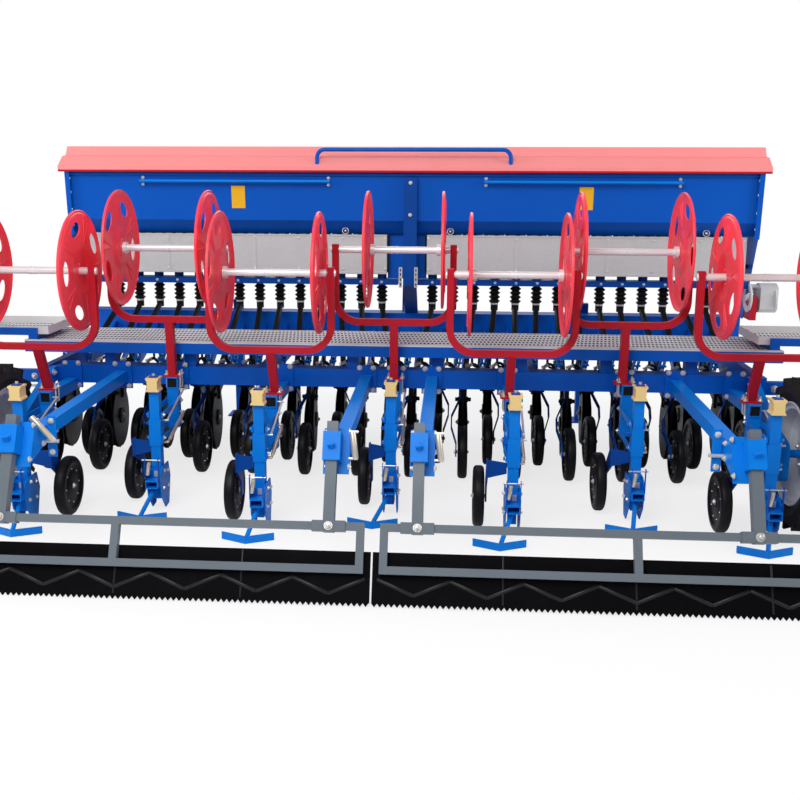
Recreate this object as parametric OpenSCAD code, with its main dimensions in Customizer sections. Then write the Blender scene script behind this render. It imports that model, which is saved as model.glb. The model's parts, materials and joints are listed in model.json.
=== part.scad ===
// Grain drill with drip-tape laying units, tape reels and drag boards.
// Millimetres. X to the right, Y forward (the way it is pulled), Z up from the ground.
// Inside every module, Y is counted from the rear face of the main beam.

/* [Rows] */
// Number of seed rows, an even number
row_count = 28; // [16:2:32]
// Distance from one row to the next
row_pitch = 150; // [140:5:170]

/* [Main beam] */
// How far the main beam ends inside the working width, at each side
beam_short = 270; // [250:5:300]
// Side of the square main beam
beam_side = 100; // [80:5:120]
// Height of the main beam's top above the ground
beam_top = 655; // [620:5:680]
// Width of a clamp plate on the beam
clamp_w = 110; // [90:5:130]
// Height of a clamp plate on the beam
clamp_h = 150; // [130:5:170]
// Thickness of a clamp plate
clamp_t = 12; // [8:1:16]

/* [Front beam] */
// Depth of the front beam
front_d = 150; // [120:5:180]
// Height of the front beam
front_h = 160; // [120:5:200]
// Height of the front beam's top above the ground
front_top = 770; // [740:5:790]
// Rear face of the front beam, ahead of the main beam's rear face
front_y = 1450; // [1420:5:1500]

/* [Side frames] */
// Distance from an end of the main beam to the middle of an outer tube
rail_out = 105; // [100:1:110]
// Distance from the row inboard of it to the middle of an inner tube
rail_off = 65; // [60:1:70]
// Width of a longitudinal tube
rail_w = 44; // [40:2:50]
// Height of a longitudinal tube
rail_h = 100; // [80:5:110]

/* [Hitch] */
// Distance between the two lower hitch points
hitch_span = 840; // [780:10:900]
// Radius of the lower link pin holes
hitch_lower_r = 14.4; // [13:0.1:18]
// Radius of the top link pin hole
hitch_top_r = 12.9; // [11:0.1:16]
// Height of the lower pin holes above the ground
hitch_lower_z = 560; // [540:5:600]
// Height of the top pin hole above the lower ones
hitch_rise = 610; // [580:5:640]
// Free gap between the two plates of a hitch clevis
clevis_gap = 60; // [50:2:80]
// Thickness of the hitch plates
hitch_t = 16; // [12:1:20]
// Reach of the pin holes ahead of the front beam
hitch_reach = 260; // [220:5:300]

/* [Hopper] */
// Overhang of the hopper beyond the working width, at each side
hopper_over = 110; // [80:5:130]
// Wall thickness of the hopper
hopper_wall = 4; // [3:0.5:8]
// Rear lip of the hopper, ahead of the main beam's rear face
hopper_y = 1160; // [1140:5:1180]
// Depth of the hopper at its top
hopper_d = 620; // [580:10:680]
// Height of the hopper's open top above the ground
hopper_top = 1730; // [1700:5:1780]
// Height of the crease where the walls turn inwards
hopper_crease = 1400; // [1380:5:1440]
// Height of the hopper's floor
hopper_floor = 1312; // [1306:2:1330]
// Depth of the flat floor
floor_d = 190; // [160:5:220]
// Height of the lid above the hopper's top
lid_rise = 135; // [110:5:160]
// Thickness of the lid sheet
lid_t = 4; // [3:0.5:6]
// Height of the rear lip of the lid
lip_h = 26; // [18:1:40]

/* [Metering] */
// Distance from the outermost outlet to the end of the hopper
outlet_end = 262; // [240:2:300]
// Height of the metering covers
cover_h = 255; // [230:5:260]
// Thickness of the metering covers
cover_t = 4; // [3:0.5:6]
// Height of the outlet rail
rail_strip_h = 40; // [30:2:50]
// Largest radius of a bellows
bellows_r = 38; // [30:1:42]
// Height of a bellows
bellows_h = 125; // [100:5:140]
// Radius of a seed tube
tube_r = 18; // [14:1:20]

/* [Platform] */
// Length of the platform
deck_len = 4060; // [3960:10:4080]
// Depth of the platform
deck_d = 460; // [400:10:500]
// Height of the platform's top above the ground
deck_top = 800; // [780:5:820]
// Thickness of the galvanised planks
plank_t = 6; // [4:1:10]
// Height of the blue channel under the planks
deck_h = 58; // [40:2:60]
// Overhang of the platform behind the main beam
deck_over = 60; // [40:5:80]

/* [Openers] */
// Diameter of an opener disc
disc_d = 375; // [330:5:380]
// Thickness of an opener disc
disc_t = 4; // [3:0.5:6]
// Clearance of the discs above the ground
disc_lift = 55; // [40:5:70]
// Distance from the press wheel to the disc behind which it runs
disc_lead = 335; // [330:5:350]
// Diameter of a press wheel or gauge wheel
press_d = 300; // [280:5:310]
// Width of a press wheel or gauge wheel
press_w = 54; // [44:2:60]
// Rear rank of press wheels, ahead of the main beam's rear face
press_y_rear = 195; // [180:5:200]
// Front rank of press wheels, ahead of the main beam's rear face
press_y_front = 490; // [480:5:500]

/* [Reels] */
// Diameter of a reel disc
reel_d = 600; // [560:10:620]
// Depth of the dish of a reel disc
reel_dish = 24; // [18:1:30]
// Radius of a reel shaft
reel_shaft_r = 18; // [15:1:22]
// Side of the square tube of a reel fork
fork_side = 34; // [30:2:46]
// How much wider than the unit pitch a reel fork is, between the middles of its arms
fork_over = 12; // [0:2:40]
// Middle radius of the corners of a reel fork
fork_r = 125; // [100:5:150]
// Height of the shafts of the rear row of reels
reel_z_rear = 1217; // [1200:5:1240]
// Height of the shafts of the front row of reels
reel_z_front = 1311; // [1300:5:1330]

/* [Tape units] */
// Side of the square arm of a tape unit
arm_side = 60; // [50:2:66]
// Wall thickness of the square arm
arm_wall = 5; // [4:0.5:8]
// Side of the upright shank
shank_side = 50; // [40:2:54]
// Height of the shank's top above the ground
shank_top = 620; // [600:2:630]
// Width of a covering sweep
sweep_w = 250; // [220:10:280]

/* [Drag boards] */
// Length of one drag board
board_len = 2096; // [1980:4:2100]
// Height of the drag board plate along its slope
board_h = 218; // [180:5:220]
// Thickness of the drag board plate
board_t = 10; // [6:1:14]
// Distance from one tooth to the next
tooth_pitch = 23; // [20:1:40]
// Height of a tooth
tooth_h = 14; // [10:1:26]
// Side of the square tubes of the board frame
bar_side = 32; // [28:2:46]
// Side of the square posts of the board
post_side = 46; // [40:2:56]

/* [Ground wheels] */
// Diameter of a ground wheel, out to the tips of its lugs
wheel_d = 750; // [720:10:780]
// Width of a ground wheel's tyre
wheel_w = 190; // [160:5:200]
// Distance from an outer tube of the side frame to the middle of a ground wheel
wheel_out = 90; // [85:5:125]
// Middle of a ground wheel, behind the main beam's rear face
wheel_back = 520; // [500:5:560]
// Diameter of the rim
rim_d = 490; // [470:5:500]
// Height of a lug above the tread
lug_h = 16; // [10:1:22]
// Number of lugs on either side of a tyre
lug_count = 18; // [12:1:24]

/* [Hidden] */
$fn = 48;
blue = [0.02, 0.30, 0.72];
light_blue = [0.05, 0.45, 0.90];
navy = [0.02, 0.16, 0.52];
red = [0.72, 0.08, 0.12];
rose = [0.80, 0.16, 0.24];
lid_red = [0.88, 0.38, 0.38];
zinc = [0.72, 0.73, 0.73];
rubber = [0.07, 0.07, 0.07];
board_grey = [0.42, 0.47, 0.51];
cream = [0.92, 0.83, 0.58];
rim_grey = [0.66, 0.68, 0.68];
steel = [0.60, 0.60, 0.58];

// Clearances: a turning fit, a seat that only touches, and a gap that moves
turn_gap = 0.3;
seat_gap = 0.3;
swing_gap = 6;

// Widths that follow the seed rows
working_width = row_count * row_pitch;
beam_len = working_width - 2 * beam_short;
hopper_len = working_width + 2 * hopper_over;
rail_x_outer = beam_len / 2 + rail_out;
rail_x_inner = 4.5 * row_pitch + rail_off;
wheel_x = rail_x_outer + wheel_out;
// One tape unit to four rows; the table's disc places are for the pitch unit_base
unit_pitch = 4 * row_pitch;
unit_base = 600;
fork_w = unit_pitch + fork_over;

// Tape units: place across in unit pitches, row (0 rear, 1 front), and the offsets from that place of
// the gauge wheel, the left and right reel disc, the arm with its shank, and the sweep
UNIT_X = 0;
UNIT_ROW = 1;
UNIT_GAUGE = 2;
UNIT_DISC_L = 3;
UNIT_DISC_R = 4;
UNIT_ARM = 5;
UNIT_SWEEP = 6;
UNITS = [
    [-3, 0,  187, -235, 240,   8,  30],
    [-2, 1, -152, -235, 225,   8, -30],
    [-1, 0, -164, -237, 245, -10, -42],
    [ 0, 1, -136, -130, 246,   8, -70],
    [ 1, 0, -152, -205, 245,   8, -56],
    [ 2, 1, -130, -248, 250,  26, -10],
    [ 3, 0, -187, -190, 235,   6, -48],
];
function unit_x(u) = u[UNIT_X] * unit_pitch;
function unit_disc(u, column) = u[column] * unit_pitch / unit_base;
function arm_x(u) = unit_x(u) + u[UNIT_ARM];
// Per row of tape units: clamp flange, arm end, fork plane, shank axis, gauge wheel, sweep (all Y)
flange_y = [-330, -100];
arm_end = [-405, -150];
arm_top = [585, 622];
fork_y = [-430, -125];
fork_bottom = [830, 935];
reel_z = [reel_z_rear, reel_z_front];
shank_y = [-715, -465];
gauge_y = [-605, -315];
sweep_y = [-965, -715];
flange_t = 10;
flange_w = 90;
flange_d = 68;
stem_side = 42;

// Main beam
beam_z = beam_top - beam_side;
beam_mid = beam_top - beam_side / 2;
rail_z = beam_top - rail_h;
front_z = front_top - front_h;

// Hopper
half_hopper = hopper_len / 2;
hopper_back = hopper_y;
hopper_front = hopper_y + hopper_d;
crease_in = 22;
floor_y = hopper_y + 115;
cover_top = hopper_floor - 4;
cover_z = cover_top - cover_h;
strip_z = cover_z - 35 - rail_strip_h;
outlet_y = floor_y + 50;
outlets = 14;
// Place across of outlet k of either side, counted from the middle
outlet_start = 30;
outlet_pitch = (half_hopper - outlet_end - outlet_start) / outlets;
function outlet_x(k) = outlet_start + k * outlet_pitch;

// Openers
rank_y = [press_y_rear, press_y_front];
disc_z = disc_d / 2 + disc_lift;
function row_x(i) = (i - (row_count - 1) / 2) * row_pitch;
function rank_of(i) = i % 2;
function side_sign(i) = rank_of(i) == 0 ? -1 : 1;

// Drag boards
board_gap = 8;
pivot_y = -1170;
pivot_z = 575;
pin_r = 10;
knuckle_r = 30;
cheek_t = 8;
cheek_in = arm_side / 2 + 5;
post_top_y = -1331;
post_top_z = 688;
post_lean = 25;
post_len = 456;
// Place across of each board arm, and of the post that it carries
BOARD_ARMS = [[-1510, -1545], [-155, -178], [200, 182], [1495, 1530]];
// Sleeve and back plate of a board bracket, along the post from its top
sleeve_s = [44, 164];
back_s = [20, 212];
board_sleeve = 72;
back_t = 8;
// Overhang of a board's plate past its frame
frame_short = 28;
upright_x = [48, 1058, 2056];
// Point on a post, at a distance s down from its top
function post_point(s) = [post_top_y - s * sin(post_lean), post_top_z - s * cos(post_lean)];
frame_top = post_point(post_len - 25);
frame_lean = 25;
function frame_point(s) = [frame_top[0] - s * sin(frame_lean), frame_top[1] - s * cos(frame_lean)];
frame_drop = 171;

// Gearbox at the right end
gear_x = half_hopper + 56;
gear_w = 110;
gear_y = front_y - 150;
gear_z = 920;

// Ground wheels
wheel_r = wheel_d / 2;
rim_r = rim_d / 2;
spindle_r = 20;

// Whole machine: the box from the boards to the hitch is centred on the origin
hitch_y = front_y + front_d + hitch_reach;
clevis_round = 45;
frame_foot = frame_point(frame_drop);
plate_front = bar_side / 2 + board_t;
plate_reach = (frame_foot[1] - plate_front * sin(frame_lean)) / cos(frame_lean);
y_rear = frame_foot[0] + bar_side / 2 * cos(frame_lean) - plate_reach * sin(frame_lean);
y_shift = -(y_rear + hitch_y + clevis_round) / 2;

module place() {
    translate([0, y_shift, 0]) children();
}

module box(x0, x1, y0, y1, z0, z1) {
    translate([x0, y0, z0]) cube([x1 - x0, y1 - y0, z1 - z0]);
}

// A plate whose outline is given in Y and Z, from x0 over a thickness t towards +X
module side_plate(x0, t, points) {
    translate([x0, 0, 0]) rotate([90, 0, 90]) linear_extrude(t) polygon(points);
}

// A round bar along X
module bar_x(x0, x1, y, z, r) {
    translate([x0, y, z]) rotate([0, 90, 0]) cylinder(h = x1 - x0, r = r);
}

// A round bar between two points of one plane x
module bar_yz(x, y0, z0, y1, z1, r) {
    len = norm([y1 - y0, z1 - z0]);
    tilt = atan2(-(y1 - y0), z1 - z0);
    translate([x, y0, z0]) rotate([tilt, 0, 0]) cylinder(h = len, r = r);
}

// ---- Chassis ----

clamp_x = concat([for (u = UNITS) arm_x(u)], [for (a = BOARD_ARMS) a[0]]);

module main_beam() {
    color(blue) place() {
        box(-beam_len / 2, beam_len / 2, 0, beam_side, beam_z, beam_top);
        for (x = clamp_x)
            box(x - clamp_w / 2, x + clamp_w / 2, -clamp_t, 1,
                beam_mid - clamp_h / 2, beam_mid + clamp_h / 2);
        for (s = [-1, 1])
            box(min(s * (beam_len / 2 - 1), s * (rail_x_outer - rail_w / 2)),
                max(s * (beam_len / 2 - 1), s * (rail_x_outer - rail_w / 2)),
                0, beam_side, beam_z + 10, beam_top - 10);
    }
}

module side_rails() {
    color(blue) place() {
        for (s = [-1, 1]) {
            box(s * rail_x_outer - rail_w / 2, s * rail_x_outer + rail_w / 2,
                -clamp_t - 40, front_y, rail_z, beam_top);
            box(s * rail_x_inner - rail_w / 2, s * rail_x_inner + rail_w / 2,
                beam_side, front_y, rail_z, beam_top);
        }
    }
}

module front_beam() {
    color(blue) place()
        box(-half_hopper, half_hopper, front_y, front_y + front_d, front_z, front_top);
}

module hitch_plate(x, z, r, low) {
    side_plate(x, hitch_t, [
        [front_y + front_d, z - 70], [hitch_y, z - clevis_round],
        [hitch_y, z + clevis_round], [front_y + front_d, front_top - 10]]);
    translate([x, hitch_y, z]) rotate([0, 90, 0]) cylinder(h = hitch_t, r = clevis_round);
}

module hitch_brackets() {
    color(blue) place() {
        for (s = [-1, 1], side = [-1, 1]) {
            x = s * hitch_span / 2 + side * (clevis_gap + hitch_t) / 2 - hitch_t / 2;
            difference() {
                hitch_plate(x, hitch_lower_z, hitch_lower_r);
                bar_x(x - 1, x + hitch_t + 1, hitch_y, hitch_lower_z, hitch_lower_r);
            }
        }
    }
}

mast_y = hitch_y - 60;
mast_z = hitch_lower_z + hitch_rise;
mast_half = clevis_gap / 2 + hitch_t;

module hitch_mast() {
    color(blue) place() difference() {
        for (side = [-1, 1]) {
            x = side * (clevis_gap + hitch_t) / 2 - hitch_t / 2;
            side_plate(x, hitch_t, [
                [front_y + front_d, front_z + 10], [front_y + front_d + 90, front_z + 10],
                [mast_y + clevis_round, mast_z], [mast_y - clevis_round, mast_z],
                [front_y + front_d, front_top - 5]]);
            translate([x, mast_y, mast_z]) rotate([0, 90, 0]) cylinder(h = hitch_t, r = clevis_round);
        }
        bar_x(-mast_half - 1, mast_half + 1, mast_y, mast_z, hitch_top_r);
    }
}

stand_x = 1200;
stand_side = 60;
foot_side = 160;

module parking_stands() {
    color(blue) place() for (s = [-1, 1]) {
        box(s * stand_x - stand_side / 2, s * stand_x + stand_side / 2,
            front_y + front_d, front_y + front_d + stand_side, 9, front_top + 60);
        box(s * stand_x - foot_side / 2, s * stand_x + foot_side / 2,
            front_y + front_d + stand_side / 2 - foot_side / 2,
            front_y + front_d + stand_side / 2 + foot_side / 2, 0, 10);
    }
}

// ---- Hopper ----

function hopper_outline(w) = [
    [hopper_back + w, hopper_top], [hopper_back + crease_in + w, hopper_crease],
    [floor_y + w, hopper_floor + (w > 0 ? w : 0)], [floor_y + floor_d - w, hopper_floor + (w > 0 ? w : 0)],
    [hopper_front - crease_in - w, hopper_crease], [hopper_front - w, hopper_top]];

// Outer face of the hopper's rear wall at a height above the crease
function hopper_wall_y(z) = hopper_back + crease_in * (hopper_top - z) / (hopper_top - hopper_crease);

module hopper_shell() {
    color(blue) place() {
        difference() {
            side_plate(-half_hopper, hopper_len, hopper_outline(0));
            for (s = [-1, 1])
                side_plate(s < 0 ? -half_hopper + hopper_wall : hopper_wall / 2,
                           half_hopper - hopper_wall * 1.5,
                           concat([[hopper_back + hopper_wall, hopper_top + 1]], hopper_outline(hopper_wall),
                                  [[hopper_front - hopper_wall, hopper_top + 1]]));
        }
        for (s = [-1, 1])
            side_plate(s < 0 ? -half_hopper : half_hopper - hopper_wall, hopper_wall, [
                [hopper_back - 30, hopper_top - 5], [hopper_back + 20, hopper_floor],
                [front_y - 60, front_top], [front_y + front_d, front_top],
                [hopper_front + 10, hopper_crease], [hopper_front + 10, hopper_top - 5]]);
        hinge_ears();
    }
}

brace_w = 84;
brace_t = 40;
brace_x = 25;

module hopper_brace() {
    color(navy) place() {
        side_plate(brace_x - brace_w / 2, brace_w, [
            [hopper_back - brace_t, hopper_top - 60], [hopper_back - 0.5, hopper_top - 60],
            [hopper_back - 0.5, cover_z - 20],
            [front_y + 60, front_top], [front_y, front_top],
            [hopper_back - brace_t, cover_z - 60]]);
    }
}

cover_y = floor_y - 25;
cover_x0 = 130;
cover_x1 = half_hopper - 50;

module metering_covers() {
    color(zinc) place() for (s = [-1, 1])
        box(min(s * cover_x0, s * cover_x1), max(s * cover_x0, s * cover_x1),
            cover_y - cover_t, cover_y, cover_z, cover_top);
}

meter_w = 100;
meter_shaft_y = 100;

module seed_meters() {
    color(steel) place() {
        for (s = [-1, 1]) {
            for (k = [1 : outlets])
                box(s * outlet_x(k) - meter_w / 2, s * outlet_x(k) + meter_w / 2,
                    cover_y, floor_y + floor_d - 20, cover_z + 10, hopper_floor - seat_gap);
            bar_x(min(s * cover_x0, s * (half_hopper - hopper_wall)),
                  max(s * cover_x0, s * (half_hopper - hopper_wall)),
                  floor_y + meter_shaft_y, cover_z + 60, 14);
        }
    }
}

module outlet_rail() {
    color(navy) place() for (s = [-1, 1]) {
        box(min(s * 60, s * (half_hopper - hopper_wall)), max(s * 60, s * (half_hopper - hopper_wall)),
            outlet_y - 40, outlet_y + 60, strip_z, strip_z + rail_strip_h);
        for (k = [1 : outlets])
            translate([s * outlet_x(k), outlet_y + 10, strip_z + rail_strip_h - 1])
                cylinder(h = cover_z + 11 - strip_z - rail_strip_h, r = 30);
    }
}

// Lid: a folded sheet, open below, with a web that lies on the hopper's rim
lid_over = 36;
lid_back = hopper_back - 42;
lid_front = hopper_front + 26;
lid_half = half_hopper + lid_over;
lid_seat = hopper_top + seat_gap;
web_d = 75;
hinge_r = 5;
barrel_r = 10;
barrel_w = 60;
hinge_y = lid_front + barrel_r + 4;
hinge_z = lid_seat + barrel_r + 2;
hinge_x = [300, 1050, 1800];
lid_profile = [
    [lid_back, lid_seat - lip_h], [lid_back, lid_seat + 6], [lid_back + 90, lid_seat + 70],
    [lid_back + 150, lid_seat + 76], [lid_back + 190, lid_seat + lid_rise],
    [lid_front - 120, lid_seat + lid_rise], [lid_front, lid_seat + 40], [lid_front, lid_seat]];
// The inner line of the folded sheet, with the web's upper face
lid_inner = [
    [lid_front - lid_t, lid_seat + lid_t], [lid_front - lid_t, lid_seat + 38],
    [lid_front - 122, lid_seat + lid_rise - lid_t], [lid_back + 193, lid_seat + lid_rise - lid_t],
    [lid_back + 153, lid_seat + 76 - lid_t], [lid_back + 92, lid_seat + 70 - lid_t],
    [lid_back + lid_t, lid_seat + 6], [lid_back + lid_t, lid_seat + lid_t]];

module lid() {
    color(lid_red) place() {
        difference() {
            side_plate(-lid_half, 2 * lid_half, concat(lid_profile,
                [[lid_back + lid_t, lid_seat], [lid_back + lid_t, lid_seat - lip_h]]));
            side_plate(-lid_half + lid_t, 2 * (lid_half - lid_t), lid_inner);
            box(-half_hopper + web_d, half_hopper - web_d, lid_back + web_d, lid_front - web_d,
                lid_seat - 1, lid_seat + lid_t + 1);
        }
        for (s = [-1, 1])
            box(min(s * lid_half, s * (lid_half - lid_t)), max(s * lid_half, s * (lid_half - lid_t)),
                lid_back, lid_front - 40, lid_seat - lip_h, lid_seat + 1);
        for (s = [-1, 1], x = hinge_x) difference() {
            union() {
                bar_x(s * x - barrel_w / 2, s * x + barrel_w / 2, hinge_y, hinge_z, barrel_r);
                box(s * x - barrel_w / 2, s * x + barrel_w / 2, lid_front - 1, hinge_y,
                    hinge_z - barrel_r / 2, hinge_z + barrel_r / 2);
            }
            bar_x(s * x - barrel_w, s * x + barrel_w, hinge_y, hinge_z, hinge_r + turn_gap);
        }
    }
}

// Hinge ears on the hopper's front wall, with the pins through the lid's barrels
ear_t = 6;

module hinge_ears() {
    for (s = [-1, 1], x = hinge_x) {
        for (side = [-1, 1])
            side_plate(s * x + side * (barrel_w / 2 + 6 + ear_t / 2) - ear_t / 2, ear_t, [
                [hopper_front - 3, hopper_top - 70], [hinge_y + barrel_r, hinge_z - 22],
                [hinge_y + barrel_r, hinge_z + 8], [hinge_y - 4, hinge_z + 8],
                [hinge_y - 4, hinge_z - 18], [hopper_front - 3, hopper_top - 8]]);
        bar_x(s * x - barrel_w / 2 - 14, s * x + barrel_w / 2 + 14, hinge_y, hinge_z, hinge_r);
    }
}

// Handle: a bent tube across the rear slope of the lid
handle_x = [-570, 650];
handle_r = 13;
handle_bend = 50;
handle_y = lid_back + 34;
handle_z = lid_seat + 114;

module lid_handle() {
    color(blue) place() {
        difference() {
            for (x = handle_x) translate([x, handle_y, lid_seat])
                cylinder(h = handle_z - handle_bend - lid_seat, r = handle_r);
            side_plate(-lid_half, 2 * lid_half, lid_profile);
        }
        for (e = [[handle_x[0], 1], [handle_x[1], -1]])
            translate([e[0] + e[1] * handle_bend, handle_y, handle_z - handle_bend]) rotate([90, 0, 0])
                rotate([0, 0, e[1] > 0 ? 90 : 0]) rotate_extrude(angle = 90)
                    translate([handle_bend, 0]) circle(handle_r);
        bar_x(handle_x[0] + handle_bend, handle_x[1] - handle_bend, handle_y, handle_z, handle_r);
    }
}

// Grab rails: the inner end, and how far the outer end stays inside the hopper's end
grab_x = 488;
grab_short = 495;

module grab_rails() {
    color(light_blue) place() for (s = [-1, 1]) {
        x0 = s * grab_x;
        x1 = s * (half_hopper - grab_short);
        y = hopper_back - 34;
        z = hopper_top - 84;
        r = 8;
        bar_x(min(x0, x1), max(x0, x1), y, z, 10);
        for (x = [x0 + s * 10, x1 - s * 10])
            translate([x, y, z]) rotate([-90, 0, 0])
                cylinder(h = hopper_wall_y(z + r) - y - seat_gap, r = r);
    }
}

// ---- Seed path ----

bellows_top = strip_z;
tube_top = bellows_top - bellows_h;
boot_top = 430;

module bellows() {
    color(rubber) place() for (s = [-1, 1], k = [1 : outlets])
        translate([s * outlet_x(k), outlet_y + 10, tube_top]) rotate_extrude($fn = 32) polygon(concat(
            [[0, 0], [bellows_r * 0.6, 0]],
            [for (f = [0 : 3]) each [
                [bellows_r * 0.6, bellows_h * (0.06 + 0.22 * f)],
                [bellows_r, bellows_h * (0.17 + 0.22 * f)]]],
            [[bellows_r * 0.6, bellows_h * 0.94], [bellows_r * 0.6, bellows_h], [0, bellows_h]]));
}

cuff_h = 40;
cuff_r = tube_r + 6;

module seed_tube(x0, x1, y1) {
    y0 = outlet_y + 10;
    a = [x0, y0, tube_top - cuff_h / 2];
    b = [x1, y1, boot_top + cuff_h / 2];
    d = b - a;
    translate([x0, y0, tube_top - cuff_h]) cylinder(h = cuff_h, r = cuff_r);
    translate(a) rotate([0, acos(d[2] / norm(d)), atan2(d[1], d[0])]) cylinder(h = norm(d), r = tube_r);
    translate([x1, y1, boot_top]) cylinder(h = cuff_h, r = cuff_r);
}

module seed_tubes() {
    color(rubber) place() for (i = [0 : row_count - 1]) {
        k = i < row_count / 2 ? i - row_count / 2 : i - row_count / 2 + 1;
        seed_tube(sign(k) * outlet_x(abs(k)), row_x(i), rank_y[rank_of(i)] + disc_lead + boot_y);
    }
}

// ---- Platform ----

deck_y = -deck_over;
leg_x = [230, 680, 1130, 1580];

module platform_frame() {
    color(blue) place() {
        z0 = deck_top - plank_t - deck_h;
        z1 = deck_top - plank_t;
        box(-deck_len / 2, deck_len / 2, deck_y, deck_y + 40, z0, z1);
        box(-deck_len / 2, deck_len / 2, deck_y + deck_d - 40, deck_y + deck_d, z0, z1);
        for (s = [-1, 1], x = concat(leg_x, [deck_len / 2 - 25])) {
            box(s * x - 25, s * x + 25, deck_y + 39, deck_y + deck_d - 39, z0, z1);
        }
        for (s = [-1, 1], x = leg_x)
            box(s * x - 30, s * x + 30, 10, beam_side - 10, beam_top, z0 + 1);
    }
}

module platform_planks() {
    color(zinc) place() for (s = [-1, 1])
        box(min(s * 2, s * deck_len / 2), max(s * 2, s * deck_len / 2),
            deck_y, deck_y + deck_d, deck_top - plank_t, deck_top);
}

step_x0 = deck_len / 2 - 130;
step_x1 = gear_x + gear_w;
step_h = 45;
step_z = deck_top + 30;
step_y = deck_y + 20;
step_d = 380;
step_t = 4;

module side_steps() {
    color(zinc) place() for (s = [-1, 1]) difference() {
        box(min(s * step_x0, s * step_x1), max(s * step_x0, s * step_x1),
            step_y, step_y + step_d, step_z, step_z + step_h);
        box(min(s * (step_x0 + step_t), s * (step_x1 - step_t)),
            max(s * (step_x0 + step_t), s * (step_x1 - step_t)),
            step_y + step_t, step_y + step_d - step_t, step_z + step_t, step_z + step_h + 1);
    }
}

module step_brackets() {
    color(blue) place() for (s = [-1, 1]) {
        box(min(s * (step_x0 + 60), s * (step_x1 - 20)), max(s * (step_x0 + 60), s * (step_x1 - 20)),
            step_y - 12, step_y, step_z - 5, step_z + 35);
        box(min(s * (step_x0 + 60), s * (step_x0 + 110)), max(s * (step_x0 + 60), s * (step_x0 + 110)),
            step_y - 12, step_y + step_d - 40, deck_top, step_z);
    }
}

// ---- Openers ----

hub_r = 46;
arm_t = 14;

// Where an opener's neck meets its arm: a flat end clear of the discs
neck_y = 140;
neck_z = [375, 430];
neck_t = 18;

function neck_place(i) = rank_y[rank_of(i)] + disc_lead + neck_y;
arm_root = [front_z + 15, front_z + 80];

module opener_arms() {
    color(blue) place() for (i = [0 : row_count - 1]) {
        y = neck_place(i);
        side_plate(row_x(i) - arm_t / 2, arm_t, [
            [y, neck_z[0]], [front_y, arm_root[0]], [front_y, arm_root[1]], [y, neck_z[1]]]);
    }
}

// Height of the middle of an opener arm at a distance y
function arm_mid(i, y) = let (y0 = neck_place(i), z0 = (neck_z[0] + neck_z[1]) / 2,
    z1 = (arm_root[0] + arm_root[1]) / 2) z0 + (y - y0) / (front_y - y0) * (z1 - z0);

cant = 4;
boot_y = 40;
boot_h = 80;
heel_y = -150;
heel_top = 500;

module openers() {
    color(rubber) place() for (i = [0 : row_count - 1]) {
        y = rank_y[rank_of(i)] + disc_lead;
        translate([row_x(i), y, 0]) {
            for (s = [-1, 1])
                translate([s * 14, 0, disc_z]) rotate([0, 90, s * cant])
                    translate([0, 0, -disc_t / 2]) cylinder(h = disc_t, r = disc_d / 2);
            bar_x(-26, 26, 0, disc_z, hub_r);
            side_plate(-neck_t / 2, neck_t, [
                [heel_y, disc_z + 150], [heel_y + 20, disc_z + 90], [-60, 60], [-20, 45], [30, disc_z - 40],
                [neck_y, neck_z[0]], [neck_y, neck_z[1]], [20, boot_top - 20], [heel_y + 80, heel_top],
                [heel_y, heel_top]]);
            translate([0, boot_y, boot_top - boot_h]) cylinder(h = boot_h, r = cuff_r);
        }
    }
}

// Press wheel carriers: a bent flat bar and its pin
strap_t = 8;
strap_w = 40;
strap_tilt = 34;
strap_len = 400;
strap_in = (neck_t + strap_t) / 2;
pin_wheel_r = 8;

function strap_points(side) = [
    for (p = [[press_w / 2 + 10, -24], [press_w / 2 + 10, 50], [press_w / 2 + 38, 145],
              [press_w / 2 + 38, 215], [strap_in, strap_len - 65], [strap_in, strap_len]])
        [side * p[0], p[1]]];
function strap_shape(side) = let (c = strap_points(side)) concat(
    [for (p = c) [p[0] - strap_t / 2, p[1]]],
    [for (j = [len(c) - 1 : -1 : 0]) [c[j][0] + strap_t / 2, c[j][1]]]);

module press_arms() {
    color(navy) place() for (i = [0 : row_count - 1]) {
        side = side_sign(i);
        translate([row_x(i), rank_y[rank_of(i)], press_d / 2]) {
            rotate([-strap_tilt, 0, 0]) translate([0, strap_w / 2, 0]) rotate([90, 0, 0])
                linear_extrude(strap_w) polygon(strap_shape(side));
            bar_x(min(side * (press_w / 2 + 10), -side * (press_w / 2 + 6)),
                  max(side * (press_w / 2 + 10), -side * (press_w / 2 + 6)), 0, 0, pin_wheel_r);
        }
    }
}

// A narrow rubber-faced wheel, turned on the X axis through the origin
module narrow_wheel() {
    r = press_d / 2;
    h = press_w / 2;
    rotate([0, 90, 0]) rotate_extrude($fn = 64) polygon([
        [pin_wheel_r + turn_gap, -h * 0.8], [r * 0.62, -h * 0.8], [r * 0.8, -h], [r * 0.93, -h],
        [r, -h * 0.6], [r, h * 0.6], [r * 0.93, h], [r * 0.8, h], [r * 0.62, h * 0.8],
        [pin_wheel_r + turn_gap, h * 0.8]]);
}

module press_rank(rank) {
    color(rubber) place() for (i = [rank : 2 : row_count - 1])
        translate([row_x(i), rank_y[rank], press_d / 2]) narrow_wheel();
}

module press_wheels_rear() { press_rank(0); }
module press_wheels_front() { press_rank(1); }

// Pressure bar over the opener arms, with a sprung rod to each
bar_y = 640;
bar_half = (row_count - 1) / 2 * row_pitch - 20;
rod_side = 48;
rod_r = 5;
coil_r = 12;
lug_t = 6;
lug_gap = 20;
lug_y = bar_y + 34;
lug_z = beam_top + 32;
rod_end_y = [90, 340];

// A row's rod stands on the side that faces the middle of the machine
function rod_x(i) = row_x(i) - sign(row_x(i)) * rod_side;

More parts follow.
